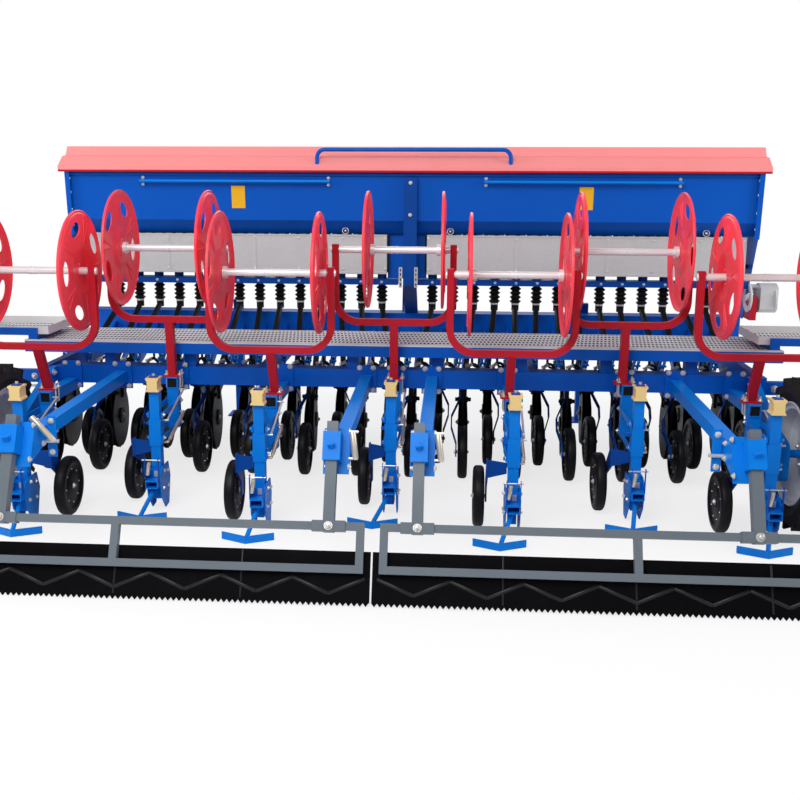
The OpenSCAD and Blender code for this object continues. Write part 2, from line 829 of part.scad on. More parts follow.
module pressure_bar() {
    color(light_blue) place() {
        box(-bar_half, bar_half, bar_y - 20, bar_y + 20, beam_top, beam_top + 40);
        for (i = [0 : row_count - 1], side = [-1, 1])
            translate([rod_x(i) + side * (lug_gap + lug_t) / 2, 0, 0])
                box(-lug_t / 2, lug_t / 2, bar_y + 19, lug_y + 14, beam_top + 5, beam_top + 52);
    }
}

module pressure_rods() {
    color(steel) place() for (i = [0 : row_count - 1]) {
        y = bar_y + rod_end_y[rank_of(i)];
        z = arm_mid(i, y);
        x = rod_x(i);
        a = [lug_y, lug_z];
        d = [y, z] - a;
        bar_x(x - lug_gap / 2, x + lug_gap / 2, a[0], a[1], rod_r + 1);
        bar_yz(x, a[0], a[1], y, z, rod_r);
        bar_yz(x, a[0] + d[0] * 0.35, a[1] + d[1] * 0.35, a[0] + d[0] * 0.8, a[1] + d[1] * 0.8, coil_r);
        inner = row_x(i) - sign(row_x(i)) * arm_t / 2;
        bar_x(min(inner, x), max(inner, x), y, z, rod_r + 1);
    }
}

// ---- Reels and forks ----

module fork(row) {
    s = fork_side;
    top = reel_z[row] + 28;
    zb = fork_bottom[row];
    translate([0, fork_y[row], 0]) {
        for (side = [-1, 1]) {
            difference() {
                box(side * fork_w / 2 - s / 2, side * fork_w / 2 + s / 2, -s / 2, s / 2, zb + fork_r, top);
                bar_x(side * fork_w / 2 - s, side * fork_w / 2 + s, 0, reel_z[row],
                      reel_shaft_r - 6 + turn_gap);
            }
            translate([side * (fork_w / 2 - fork_r), 0, zb + fork_r]) rotate([90, 0, 0])
                rotate([0, 0, side > 0 ? -90 : 180]) rotate_extrude(angle = 90)
                    translate([fork_r - s / 2, -s / 2]) square(s);
        }
        box(-fork_w / 2 + fork_r, fork_w / 2 - fork_r, -s / 2, s / 2, zb - s / 2, zb + s / 2);
    }
    lean = fork_y[row] - flange_y[row];
    h = zb - s / 2 + 2 - arm_top[row] - flange_t + 1;
    translate([0, flange_y[row], arm_top[row] + flange_t - 1])
        multmatrix([[1, 0, 0, 0], [0, 1, lean / h, 0], [0, 0, 1, 0], [0, 0, 0, 1]])
            translate([-stem_side / 2, -stem_side / 2, 0]) cube([stem_side, stem_side, h]);
    box(-flange_w / 2, flange_w / 2, flange_y[row] - flange_d / 2, flange_y[row] + flange_d / 2,
        arm_top[row], arm_top[row] + flange_t);
}

module reel_forks() {
    color(red) place() for (u = UNITS) translate([unit_x(u), 0, 0]) fork(u[UNIT_ROW]);
}

hole_ring = 0.72;

module reel_disc(side) {
    r = reel_d / 2;
    t = 3;
    difference() {
        rotate([0, side * 90, 0]) rotate_extrude($fn = 96) polygon([
            [reel_shaft_r + 1, 0], [r * 0.28, 0], [r * 0.40, reel_dish * 0.5], [r * 0.94, reel_dish * 0.5],
            [r - 4, 0], [r, 2], [r, 12], [r - 4, 14], [r * 0.94 + 2, reel_dish * 0.5 + t],
            [r * 0.40 - 2, reel_dish * 0.5 + t], [r * 0.28 - 2, t], [reel_shaft_r + 1, t]]);
        for (k = [0 : 4]) rotate([k * 72 + 36, 0, 0]) translate([0, 0, r * hole_ring])
            rotate([0, 90, 0]) linear_extrude(80, center = true) union() {
                for (e = [-1, 1]) translate([0, e * 28]) circle(36);
                square([72, 56], center = true);
            }
    }
}

module reel(n) {
    u = UNITS[n];
    row = u[UNIT_ROW];
    color(rose) place() translate([unit_x(u), fork_y[row], reel_z[row]]) {
        inner = fork_w / 2 - fork_side / 2 - swing_gap;
        bar_x(-inner, inner, 0, 0, reel_shaft_r);
        bar_x(-fork_w / 2 - fork_side / 2 - 8, fork_w / 2 + fork_side / 2 + 8, 0, 0, reel_shaft_r - 6);
        for (e = [[unit_disc(u, UNIT_DISC_L), -1], [unit_disc(u, UNIT_DISC_R), 1]]) {
            translate([e[0], 0, 0]) reel_disc(e[1]);
            bar_x(e[0] - (e[1] > 0 ? 32 : 6), e[0] + (e[1] > 0 ? 6 : 32), 0, 0, reel_shaft_r + 9);
        }
    }
}

module reel_1() { reel(0); }
module reel_2() { reel(1); }
module reel_3() { reel(2); }
module reel_4() { reel(3); }
module reel_5() { reel(4); }
module reel_6() { reel(5); }
module reel_7() { reel(6); }

// ---- Tape units ----

module tape_arms() {
    color(light_blue) place() for (u = UNITS) translate([arm_x(u), 0, 0]) {
        row = u[UNIT_ROW];
        top = arm_top[row];
        difference() {
            box(-arm_side / 2, arm_side / 2, arm_end[row], -clamp_t, top - arm_side, top);
            box(-arm_side / 2 + arm_wall, arm_side / 2 - arm_wall, arm_end[row] - 1, arm_end[row] + 60,
                top - arm_side + arm_wall, top - arm_wall);
        }
        box(-arm_side / 2, arm_side / 2, arm_end[row] + 5, arm_end[row] + 55,
            top - arm_side - 215, top - arm_side + 1);
    }
}

link_t = 8;
link_h = 26;
link_z = [360, 480];

module tape_links() {
    color(blue) place() for (u = UNITS) translate([arm_x(u), 0, 0]) {
        row = u[UNIT_ROW];
        for (x = [-arm_side / 2 - link_t, arm_side / 2], z = link_z)
            box(x, x + link_t, shank_y[row] - 20, arm_end[row] + 45, z, z + link_h);
        for (z = link_z)
            bar_x(-arm_side / 2 - link_t - 10, -arm_side / 2 - link_t + 0.5, shank_y[row], z + link_h / 2, 9);
    }
}

sleeve_side = arm_side;
shank_foot = 216;

module tape_shanks() {
    color(blue) place() for (u = UNITS) translate([arm_x(u), shank_y[u[UNIT_ROW]], 0]) {
        box(-shank_side / 2, shank_side / 2, -shank_side / 2, shank_side / 2, shank_foot, shank_top);
        box(-sleeve_side / 2, sleeve_side / 2, -sleeve_side / 2, sleeve_side / 2, 335, 475);
    }
}

guide_w = 66;
guide_h = 70;

module tape_guides() {
    color(cream) place() for (u = UNITS) translate([arm_x(u), shank_y[u[UNIT_ROW]], shank_top]) {
        translate([0, shank_side / 2, 0]) rotate([90, 0, 0]) linear_extrude(shank_side + 24) polygon([
            [-guide_w / 2, 0], [guide_w / 2, 0], [guide_w / 2, 7], [guide_w / 2 - 7, 15],
            [guide_w / 2 - 7, guide_h - 15], [guide_w / 2, guide_h - 7], [guide_w / 2, guide_h],
            [-guide_w / 2, guide_h], [-guide_w / 2, guide_h - 7], [-guide_w / 2 + 7, guide_h - 15],
            [-guide_w / 2 + 7, 15], [-guide_w / 2, 7]]);
    }
}

// Tape opener: a block under the shank, two share plates, and the mouth that the tape runs through
box_z = 138;
share_t = 6;

module tape_openers() {
    color(light_blue) place() for (u = UNITS) translate([arm_x(u), shank_y[u[UNIT_ROW]], 0]) {
        box(-31, 31, -60, 40, box_z + 40, shank_foot);
        for (side = [-1, 1])
            side_plate(side < 0 ? -31 - share_t : 31, share_t, [
                [-95, box_z + 60], [-40, shank_foot + 16], [60, shank_foot + 16], [88, 150],
                [48, 12], [-10, 6], [-78, 84]]);
        difference() {
            box(-31, 31, -130, -40, box_z, box_z + 41);
            box(-27, 27, -131, -45, box_z + 5, box_z + 35);
        }
        box(-20, 20, -42, 30, 60, box_z + 41);
    }
}

sweep_leg_r = 11;

sweep_h = 34;

// A round bar from the point a down to the point b, with its highest rim point at the height of a
module hung_bar(a, b, r) {
    d = b - a;
    tilt = acos(-d[2] / norm(d));
    translate([0, 0, -r * sin(tilt)]) translate(a)
        rotate([0, 180 - tilt, atan2(d[1], d[0])]) cylinder(h = norm(d), r = r);
}

module sweeps() {
    color(light_blue) place() for (u = UNITS) {
        row = u[UNIT_ROW];
        foot = [unit_x(u) + u[UNIT_SWEEP], sweep_y[row], 0];
        translate(foot)
            for (side = [-1, 1])
                linear_extrude(sweep_h) polygon([
                    [0, 0], [side * sweep_w / 2, 62], [side * sweep_w / 2, 74], [0, 14]]);
        hung_bar([arm_x(u), shank_y[row] - 60, box_z - seat_gap], foot + [0, 16, 26], sweep_leg_r);
    }
}

// Gauge wheel carrier: a broad plate out from the shank's sleeve, and a strap down to the wheel's pin
carrier_t = 8;

module gauge_arms() {
    color(navy) place() for (u = UNITS) {
        row = u[UNIT_ROW];
        side = sign(u[UNIT_GAUGE]);
        gx = unit_x(u) + u[UNIT_GAUGE] - side * (press_w / 2 + 10);
        root = arm_x(u) + side * sleeve_side / 2;
        translate([gx, 0, 0]) {
            side_plate(-carrier_t / 2, carrier_t, [
                [gauge_y[row] - 24, 126], [gauge_y[row] + 24, 126], [gauge_y[row] + 24, 230],
                [shank_y[row] + 26, link_z[0] + 6], [shank_y[row] - 12, link_z[0] + 6],
                [shank_y[row] - 12, 276],
                [gauge_y[row] - 24, 200]]);
            bar_x(min(0, side * (press_w + 16)), max(0, side * (press_w + 16)),
                  gauge_y[row], press_d / 2, pin_wheel_r);
        }
        translate([0, shank_y[row], 0]) rotate([90, 0, 0]) linear_extrude(carrier_t)
            polygon([[root, 300], [root, link_z[0] - 8], [gx, link_z[0] + 6], [gx, 276]]);
    }
}

module gauge_rank(row) {
    color(rubber) place() for (u = UNITS) if (u[UNIT_ROW] == row)
        translate([unit_x(u) + u[UNIT_GAUGE], gauge_y[row], press_d / 2]) narrow_wheel();
}

module gauge_wheels_rear() { gauge_rank(0); }
module gauge_wheels_front() { gauge_rank(1); }

// Sprung tube beside a tape unit, from the shank's sleeve up to the arm's leg
spring_r = 10;
spring_pin_r = 6;
spring_low = [18, 346];
spring_high = [30, 430];

module tape_springs() {
    color(steel) place() for (u = UNITS) translate([arm_x(u) + arm_side / 2, 0, 0]) {
        row = u[UNIT_ROW];
        x = link_t + spring_r + 4;
        a = [shank_y[row] + spring_low[0], spring_low[1]];
        b = [arm_end[row] + spring_high[0], spring_high[1]];
        c = a + (b - a) * 0.12;
        d = a + (b - a) * 0.88;
        bar_yz(x, a[0], a[1], b[0], b[1], spring_pin_r);
        bar_yz(x, c[0], c[1], d[0], d[1], spring_r);
        for (p = [a, b]) bar_x(0, x, p[0], p[1], spring_pin_r + 1);
    }
}

// ---- Drag boards ----

module board_arms() {
    half = arm_side / 2;
    color(light_blue) place() for (a = BOARD_ARMS) translate([a[0], 0, 0]) {
        side_plate(-half, arm_side, [
            [-clamp_t, beam_mid - half - 6], [-clamp_t, beam_mid + half - 6],
            [pivot_y, pivot_z + half], [pivot_y, pivot_z - half]]);
        bar_x(-half, half, pivot_y, pivot_z, half);
        bar_x(-cheek_in - cheek_t - 8, cheek_in + cheek_t + 8, pivot_y, pivot_z, pin_r);
    }
}

// Point on the front face of a board bracket's back plate, at a distance s down the post
function bracket_point(s) = post_point(s) + (board_sleeve / 2 + back_t) * [cos(post_lean), -sin(post_lean)];

// Bracket of a board: two cheeks on the arm's pin, a back plate, and the sleeve that holds the post
module board_brackets(side) {
    half = board_sleeve / 2;
    for (a = BOARD_ARMS) if (sign(a[0]) == side) {
        cheek_out = cheek_in + cheek_t;
        translate([0, post_top_y, post_top_z]) rotate([-post_lean, 0, 0]) {
            difference() {
                box(a[1] - half, a[1] + half, -half, half, -sleeve_s[1], -sleeve_s[0]);
                box(a[1] - post_side / 2 - seat_gap, a[1] + post_side / 2 + seat_gap,
                    -post_side / 2 - seat_gap, post_side / 2 + seat_gap, -sleeve_s[1] - 1, 1 - sleeve_s[0]);
            }
            box(min(a[0] - cheek_out, a[1] - half) - 3, max(a[0] + cheek_out, a[1] + half) + 3,
                half - 1, half + back_t, -back_s[1], -back_s[0]);
        }
        for (e = [-cheek_out, cheek_in]) difference() {
            union() {
                side_plate(a[0] + e, cheek_t, [
                    bracket_point(back_s[0] + 10) - [2, 0], [pivot_y, pivot_z + knuckle_r - 1],
                    [pivot_y, pivot_z - knuckle_r + 1], bracket_point(back_s[1] - 10) - [2, 0]]);
                bar_x(a[0] + e, a[0] + e + cheek_t, pivot_y, pivot_z, knuckle_r);
            }
            bar_x(a[0] + e - 1, a[0] + e + cheek_t + 1, pivot_y, pivot_z, pin_r + turn_gap);
        }
    }
}

module board_brackets_left() { color(light_blue) place() board_brackets(-1); }
module board_brackets_right() { color(light_blue) place() board_brackets(1); }

module along_frame(s) {
    p = frame_point(s);
    translate([0, p[0], p[1]]) rotate([-frame_lean, 0, 0]) children();
}

module board_frame(side) {
    half = bar_side / 2;
    x_in = board_gap / 2 + frame_short;
    x_out = board_gap / 2 + board_len - frame_short;
    x0 = min(side * x_in, side * x_out);
    x1 = max(side * x_in, side * x_out);
    along_frame(0) box(x0, x1, -half, half, -half, half);
    along_frame(frame_drop) box(x0, x1, -half, half, -half, half);
    for (u = upright_x) {
        ux = side * u;
        along_frame(frame_drop) box(max(x0, ux - half), min(x1, ux + half), -half, half, 0, frame_drop);
    }
    for (a = BOARD_ARMS) if (sign(a[0]) == side) {
        translate([a[1], post_top_y, post_top_z]) rotate([-post_lean, 0, 0])
            box(-post_side / 2, post_side / 2, -post_side / 2, post_side / 2, -post_len, 0);
        along_frame(0) box(a[1] - 68, a[1] + 68, -half - 6, half + 6, -half - 6, half + 6);
    }
}

module board_frame_left() { color(board_grey) place() board_frame(-1); }
module board_frame_right() { color(board_grey) place() board_frame(1); }

// The plate hangs behind the lower bar; its lower edge is cut into teeth
module board_plate(side) {
    teeth = floor(board_len / tooth_pitch);
    x0 = side < 0 ? -board_gap / 2 - board_len : board_gap / 2;
    outline = concat([[0, board_h]], [[0, tooth_h]],
        [for (k = [0 : teeth - 1]) each [[(k + 0.5) * tooth_pitch, 0], [(k + 1) * tooth_pitch, tooth_h]]],
        [[board_len, tooth_h], [board_len, board_h]]);
    translate([x0, frame_foot[0], frame_foot[1]]) rotate([-frame_lean, 0, 0])
        translate([0, plate_front, -plate_reach])
            rotate([90, 0, 0]) linear_extrude(board_t) polygon(outline);
}

module board_plates_left() { color(rubber) place() board_plate(-1); }
module board_plates_right() { color(rubber) place() board_plate(1); }

// ---- Ground wheels ----

// Ground wheel arms, inboard of the wheels: a plate down from the side frame to the spindle
wheel_arm_t = 41;
wheel_arm_x = rail_x_outer - rail_w / 2 - wheel_arm_t;
rail_rear = clamp_t + 40;

module wheel_arms() {
    color(light_blue) place() for (s = [-1, 1]) {
        x0 = s > 0 ? wheel_arm_x : -wheel_arm_x - wheel_arm_t;
        side_plate(x0, wheel_arm_t, [
            [0, beam_z + 14], [0, beam_top - 6], [-rail_rear, beam_top - 6],
            [-wheel_back + 70, wheel_r + 115], [-wheel_back - 100, wheel_r + 75],
            [-wheel_back - 120, wheel_r + 55], [-wheel_back - 120, wheel_r - 90],
            [-wheel_back - 100, wheel_r - 110], [-wheel_back + 60, wheel_r - 90], [-rail_rear, beam_z + 14]]);
        bar_x(min(s * (wheel_arm_x + 20), s * (wheel_x + wheel_w / 2 - 40)),
              max(s * (wheel_arm_x + 20), s * (wheel_x + wheel_w / 2 - 40)), -wheel_back, wheel_r, spindle_r);
    }
}

lug_w = 26;
lug_in = 4;
lug_sweep = 52;
lug_root = 46;

// Lugs of one tyre, staggered left and right, each slanting back to its shoulder
module lugs() {
    step = 360 / lug_count;
    out = wheel_w * 0.44;
    for (e = [-1, 1], k = [0 : lug_count - 1])
        rotate([(k + (e > 0 ? 0.5 : 0)) * step, 0, 0]) translate([0, 0, wheel_r - lug_root])
            linear_extrude(lug_root - 2.5) polygon([
                [e * lug_in, -lug_w / 2 - lug_sweep / 2], [e * lug_in, lug_w / 2 - lug_sweep / 2],
                [e * out, lug_w / 2 + lug_sweep / 2], [e * out, -lug_w / 2 + lug_sweep / 2]]);
}

module tyre(side) {
    h = wheel_w / 2;
    r = wheel_r - lug_h;
    color(rubber) place() translate([side * wheel_x, -wheel_back, wheel_r]) {
        rotate([0, 90, 0]) rotate_extrude($fn = 96) polygon([
            [rim_r + seat_gap, -h * 0.7], [rim_r + 30, -h * 0.92], [r * 0.84, -h], [r * 0.94, -h * 0.86],
            [r, -h * 0.6], [r, h * 0.6], [r * 0.94, h * 0.86], [r * 0.84, h], [rim_r + 30, h * 0.92],
            [rim_r + seat_gap, h * 0.7]]);
        lugs();
    }
}

module rim(side) {
    h = wheel_w / 2;
    color(rim_grey) place() translate([side * wheel_x, -wheel_back, wheel_r])
        rotate([0, side * 90, 0]) rotate_extrude($fn = 96) polygon([
            [spindle_r + turn_gap, -20], [70, -20], [70, 0], [rim_r - 60, 20], [rim_r - 30, -10],
            [rim_r - 24, -h * 0.7], [rim_r, -h * 0.7], [rim_r, h * 0.7], [rim_r - 8, h * 0.7],
            [rim_r - 20, 0], [rim_r - 56, 28], [70, 8], [70, 40], [spindle_r + turn_gap, 40]]);
}

module tyre_left() { tyre(-1); }
module tyre_right() { tyre(1); }
module rim_left() { rim(-1); }
module rim_right() { rim(1); }

// ---- Drive at the right end ----

module gearbox() {
    color(zinc) place() {
        difference() {
            bar_x(gear_x, gear_x + gear_w, gear_y, gear_z, 95);
            box(gear_x - 1, gear_x + gear_w + 1, gear_y - 100, gear_y - 70, gear_z - 120, gear_z + 120);
        }
        bar_x(half_hopper, gear_x + 1, gear_y + 66, gear_z + 36, 16);
        bar_x(half_hopper, gear_x + 1, gear_y + 34, gear_z + 68, 16);
    }
}

// Drive guard: thickness, and its reach behind, ahead, below and above the drive's axis
guard_t = 40;
guard_back = 60;
guard_ahead = 100;
guard_down = 140;
guard_up = 12;

module drive_guard() {
    color(red) place()
        box(half_hopper, half_hopper + guard_t, gear_y - guard_back, gear_y + guard_ahead,
            gear_z - guard_down, gear_z + guard_up);
}

main_beam();
side_rails();
front_beam();
hitch_brackets();
hitch_mast();
parking_stands();
hopper_shell();
hopper_brace();
metering_covers();
seed_meters();
outlet_rail();
lid();
lid_handle();
grab_rails();
bellows();
seed_tubes();
platform_frame();
platform_planks();
side_steps();
step_brackets();
opener_arms();
openers();
press_arms();
press_wheels_rear();
press_wheels_front();
pressure_bar();
pressure_rods();
reel_forks();
reel_1();
reel_2();
reel_3();
reel_4();
reel_5();
reel_6();
reel_7();
tape_arms();
tape_links();
tape_shanks();
tape_guides();
tape_openers();
tape_springs();
sweeps();
gauge_arms();
gauge_wheels_rear();
gauge_wheels_front();
board_arms();
board_brackets_left();
board_brackets_right();
board_frame_left();
board_frame_right();
board_plates_left();
board_plates_right();
wheel_arms();
tyre_left();
tyre_right();
rim_left();
rim_right();
gearbox();
drive_guard();
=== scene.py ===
"""Finishes and fittings of a grain drill with tape laying units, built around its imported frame."""

import json
import math

import bpy
from mathutils import Matrix, Vector


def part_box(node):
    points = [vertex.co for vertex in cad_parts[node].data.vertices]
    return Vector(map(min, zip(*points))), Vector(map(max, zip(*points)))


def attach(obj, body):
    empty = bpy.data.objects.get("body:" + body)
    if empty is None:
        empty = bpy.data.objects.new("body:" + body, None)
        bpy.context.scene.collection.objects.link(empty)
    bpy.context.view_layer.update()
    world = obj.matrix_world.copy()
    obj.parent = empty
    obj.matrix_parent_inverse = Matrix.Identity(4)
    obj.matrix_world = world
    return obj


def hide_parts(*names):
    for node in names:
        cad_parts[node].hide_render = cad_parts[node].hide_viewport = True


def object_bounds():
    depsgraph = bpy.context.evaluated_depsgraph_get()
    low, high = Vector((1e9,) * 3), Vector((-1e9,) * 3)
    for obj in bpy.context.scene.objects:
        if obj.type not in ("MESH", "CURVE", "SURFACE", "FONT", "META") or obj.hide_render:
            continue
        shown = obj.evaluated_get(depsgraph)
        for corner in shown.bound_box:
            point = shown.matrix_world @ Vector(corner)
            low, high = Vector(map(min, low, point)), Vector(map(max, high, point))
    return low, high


bl_info = {
    "name": "Grain Drill Looks",
    "version": (1, 0, 0),
    "blender": (4, 5, 0),
    "location": "View3D > Sidebar > Grain Drill",
    "description": "Paint, fittings and a studio for a grain drill with tape laying units",
    "category": "Object",
}

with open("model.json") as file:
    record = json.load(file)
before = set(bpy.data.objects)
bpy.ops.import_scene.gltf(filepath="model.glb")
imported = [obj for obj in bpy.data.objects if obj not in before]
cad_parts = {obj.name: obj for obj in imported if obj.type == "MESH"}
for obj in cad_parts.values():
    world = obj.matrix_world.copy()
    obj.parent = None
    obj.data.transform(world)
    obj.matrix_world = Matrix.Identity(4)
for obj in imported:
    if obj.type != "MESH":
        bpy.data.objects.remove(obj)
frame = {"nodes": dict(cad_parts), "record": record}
CAD_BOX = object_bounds()
NODES = frame["nodes"]


# ---- Shader maths ----


def fill(slot, value):
    """Links a node's input to a socket, or sets its plain value."""
    if isinstance(value, Val):
        value.tree.links.new(value.socket, slot)
    else:
        slot.default_value = value


def maths(operation):
    """A method that puts a socket and its arguments into one Math node."""

    def method(self, *others):
        node = self.tree.nodes.new("ShaderNodeMath")
        node.operation = operation
        for slot, value in zip(node.inputs, (self, *others)):
            fill(slot, value)
        return Val(self.tree, node.outputs[0])

    return method


class Val:
    """A shader socket on which Python's operators add Math nodes."""

    def __init__(self, tree, socket):
        self.tree = tree
        self.socket = socket

    __add__ = maths("ADD")
    __sub__ = maths("SUBTRACT")
    __mul__ = maths("MULTIPLY")
    __truediv__ = maths("DIVIDE")
    __pow__ = maths("POWER")
    __gt__ = maths("GREATER_THAN")
    __lt__ = maths("LESS_THAN")
    fraction = maths("FRACT")
    larger = maths("MAXIMUM")

    def clamped(self):
        result = self + 0.0
        result.socket.node.use_clamp = True
        return result


class Finish:
    """A material with one Principled shader, and a method that adds any other node."""

    def __init__(self, name, **constants):
        self.material = bpy.data.materials.new(name)
        self.material.use_nodes = True
        self.tree = self.material.node_tree
        self.shader = self.tree.nodes["Principled BSDF"]
        for label, value in constants.items():
            self.feed(label.replace("_", " "), value)

    def node(self, kind, settings=None, **inputs):
        made = self.tree.nodes.new("ShaderNode" + kind)
        for key, value in (settings or {}).items():
            setattr(made, key, value)
        for label, value in inputs.items():
            fill(made.inputs[label.replace("_", " ")], value)
        return made

    def out(self, made, label=0):
        return Val(self.tree, made.outputs[label])

    def place(self):
        return self.out(self.node("TexCoord"), "Object")

    def noise(self, scale, detail=3.0, roughness=0.5):
        made = self.node("TexNoise", Vector=self.place(), Scale=scale, Detail=detail, Roughness=roughness)
        return self.out(made, "Fac")

    def blend(self, factor, first, second):
        made = self.node("Mix", {"data_type": "RGBA"})
        # A Mix node's factor, its two colours and its result stand at these numbers
        for index, value in ((0, factor), (6, first), (7, second)):
            fill(made.inputs[index], value)
        return self.out(made, 2)

    def mottled(self, factor, colour, spread):
        """The colour between a darker and a lighter shade of itself."""
        return self.blend(factor, shade(colour, 1 - spread), shade(colour, 1 + spread))

    def feed(self, label, value):
        fill(self.shader.inputs[label], value)

    def bump(self, height, strength, distance):
        made = self.node("Bump", Height=height, Strength=strength, Distance=distance)
        self.feed("Normal", self.out(made))


def shade(colour, factor):
    """A colour made lighter or darker, with alpha for a socket."""
    return (*(min(1.0, channel * factor) for channel in colour[:3]), 1.0)


def enamel(name, colour, gloss=0.32, coat=0.06, spread=0.08, shine=0.12):
    """Sprayed enamel: slight cloudiness, orange peel and dust that dulls it in patches."""
    finish = Finish(name, Coat_Roughness=0.12, Specular_IOR_Level=shine)
    cloud = finish.noise(3.1, 4.0, 0.6)
    patch = finish.noise(22.0, 3.0, 0.6)
    finish.feed("Base Color", finish.mottled(cloud * 0.7 + patch * 0.3, colour, spread))
    finish.feed("Roughness", patch * 0.12 + (gloss - 0.04))
    finish.feed("Coat Weight", cloud * 0.1 + (coat - 0.05))
    finish.bump(finish.noise(420.0, 2.0, 0.5), 0.05, 0.0006)
    return finish.material


def galvanised(name, colour, metal=0.4, spread=0.06):
    """Hot-dip zinc: crystals of differing shade, with soft runs."""
    finish = Finish(name, Metallic=metal)
    crystal = finish.node("TexVoronoi", Vector=finish.place(), Scale=90.0)
    grain = finish.out(finish.node("SeparateColor", Color=finish.out(crystal, "Color")), 0)
    run = finish.noise(6.0, 4.0, 0.6)
    finish.feed("Base Color", finish.mottled(grain * 0.4 + run * 0.6, colour, spread))
    finish.feed("Roughness", grain * 0.04 + run * 0.08 + 0.28)
    finish.bump(run, 0.03, 0.002)
    return finish.material


def plated(name, colour, tint):
    """Zinc or chromate plating on springs, pins and bolts."""
    finish = Finish(name, Metallic=0.6)
    film = finish.noise(38.0, 3.0, 0.6)
    finish.feed("Base Color", finish.blend(film, shade(colour, 1.0), shade(tint, 1.0)))
    finish.feed("Roughness", finish.noise(90.0, 2.0) * 0.2 + 0.22)
    finish.bump(finish.noise(600.0, 2.0), 0.05, 0.0004)
    return finish.material


def moulded(name, colour, rough, grain=260.0, depth=0.12, spread=0.10, scuff=None, shine=0.25):
    """Moulded rubber or plastic with a fine grain, and dusty scuffs where asked."""
    finish = Finish(name, Specular_IOR_Level=shine)
    cloud = finish.noise(9.0, 4.0, 0.6)
    base = finish.mottled(cloud, colour, spread)
    if scuff:
        wear = (finish.noise(5.0, 6.0, 0.7) - 0.56).larger(0.0) * 3.2
        base = finish.blend(wear.clamped() * 0.5, base, shade(scuff, 1.0))
    finish.feed("Base Color", base)
    finish.feed("Roughness", cloud * 0.16 + (rough - 0.08))
    finish.bump(finish.noise(grain, 2.0, 0.6), depth, 0.0008)
    return finish.material


def treaded(name, colour):
    """Galvanised tread: staggered long holes with raised rims on the faces that look up; the holes carry
    painted shade and the rims a painted highlight.
    """
    across, along = 0.021, 0.074
    hole_width, hole_length = 0.0066, 0.0230
    finish = Finish(name, Metallic=0.25)
    axes = finish.node("SeparateXYZ", Vector=finish.place())
    up = finish.node("SeparateXYZ", Vector=finish.out(finish.node("NewGeometry"), "Normal"))
    row = finish.out(axes, 1) / along
    stagger = ((row * 0.5).fraction() > 0.5) * 0.5
    column = finish.out(axes, 0) / across + stagger
    du = (column.fraction() - 0.5) * (across / hole_width)
    dv = (row.fraction() - 0.5) * (along / hole_length)
    ring = du * du + dv * dv
    level = finish.out(up, 2) > 0.7
    hole = (ring < 1.0) * level
    rim = (ring < 2.0) * level
    run = finish.noise(9.0, 4.0, 0.6)
    plain = finish.blend(run, shade(colour, 1.05), shade(colour, 1.25))
    # Painted highlight: the rims are painted lighter than the plain zinc.
    raised = finish.blend(rim * 0.8, plain, shade(colour, 1.45))
    # Painted shade: the holes are painted near black, for the dark seen through them.
    finish.feed("Base Color", finish.blend(hole, raised, (0.006, 0.006, 0.007, 1.0)))
    finish.feed("Roughness", run * 0.2 + hole * 0.4 + 0.3)
    finish.bump(rim - hole * 2.0, 0.6, 0.002)
    return finish.material


# ---- Sizes and colours a user would change ----


def colour_prop(name, description, default):
    return bpy.props.FloatVectorProperty(name=name, description=description, default=default,
                                         subtype="COLOR", size=3, min=0.0, max=1.0)


def number_prop(name, description, default, **how):
    return bpy.props.FloatProperty(name=name, description=description, default=default, **how)


class DrillPaint(bpy.types.PropertyGroup):
    """Colours of the drill's finishes."""

    blue: colour_prop("Blue", "Frame and hopper enamel", (0.001, 0.092, 0.50))
    light_blue: colour_prop("Light blue", "Arms and brackets", (0.001, 0.19, 0.70))
    navy: colour_prop("Dark blue", "Gauge and press wheel arms", (0.002, 0.055, 0.30))
    red: colour_prop("Red", "Reel forks and guard", (0.46, 0.012, 0.025))
    rose: colour_prop("Rose red", "Reel discs", (0.95, 0.062, 0.090))
    lid: colour_prop("Lid red", "Hopper lid", (0.93, 0.29, 0.29))
    zinc: colour_prop("Zinc", "Galvanised sheet", (0.62, 0.63, 0.64))
    steel: colour_prop("Steel", "Plated springs and rods", (0.76, 0.75, 0.72))
    gold: colour_prop("Chromate", "Yellow plating", (0.66, 0.52, 0.28))
    rubber: colour_prop("Rubber", "Wheel bands and bellows", (0.006, 0.006, 0.007))
    board: colour_prop("Board grey", "Drag board frames", (0.13, 0.155, 0.18))
    cream: colour_prop("Cream", "Tape guides", (0.83, 0.60, 0.26))
    rim: colour_prop("Rim grey", "Ground wheel rims", (0.60, 0.62, 0.64))
    caution: colour_prop("Caution yellow", "Blank plates", (0.85, 0.45, 0.02))


class DrillStudio(bpy.types.PropertyGroup):
    """Camera, lamps and world."""

    eye: bpy.props.FloatVectorProperty(name="Eye", description="Camera place over the ground",
                                       default=(0.3141, -5.549, 1.70), subtype="XYZ", unit="LENGTH")
    yaw: number_prop("Yaw", "Turn to the right", -0.0708, subtype="ANGLE")
    pitch: number_prop("Pitch", "Tilt down", 0.2122, subtype="ANGLE")
    roll: number_prop("Roll", "Lean", 0.0034, subtype="ANGLE")
    lens: number_prop("Lens", "Focal length in millimetres", 45.78)
    shift: bpy.props.FloatVectorProperty(name="Shift", description="Lens shift", size=2,
                                         default=(0.0223, -0.0098))
    key: number_prop("Key", "Watts of the large lamp", 250.0)
    fill: number_prop("Fill", "Watts of each side lamp", 125.0)
    sky: number_prop("Sky", "Strength of the world", 0.32)


PAINT = {}


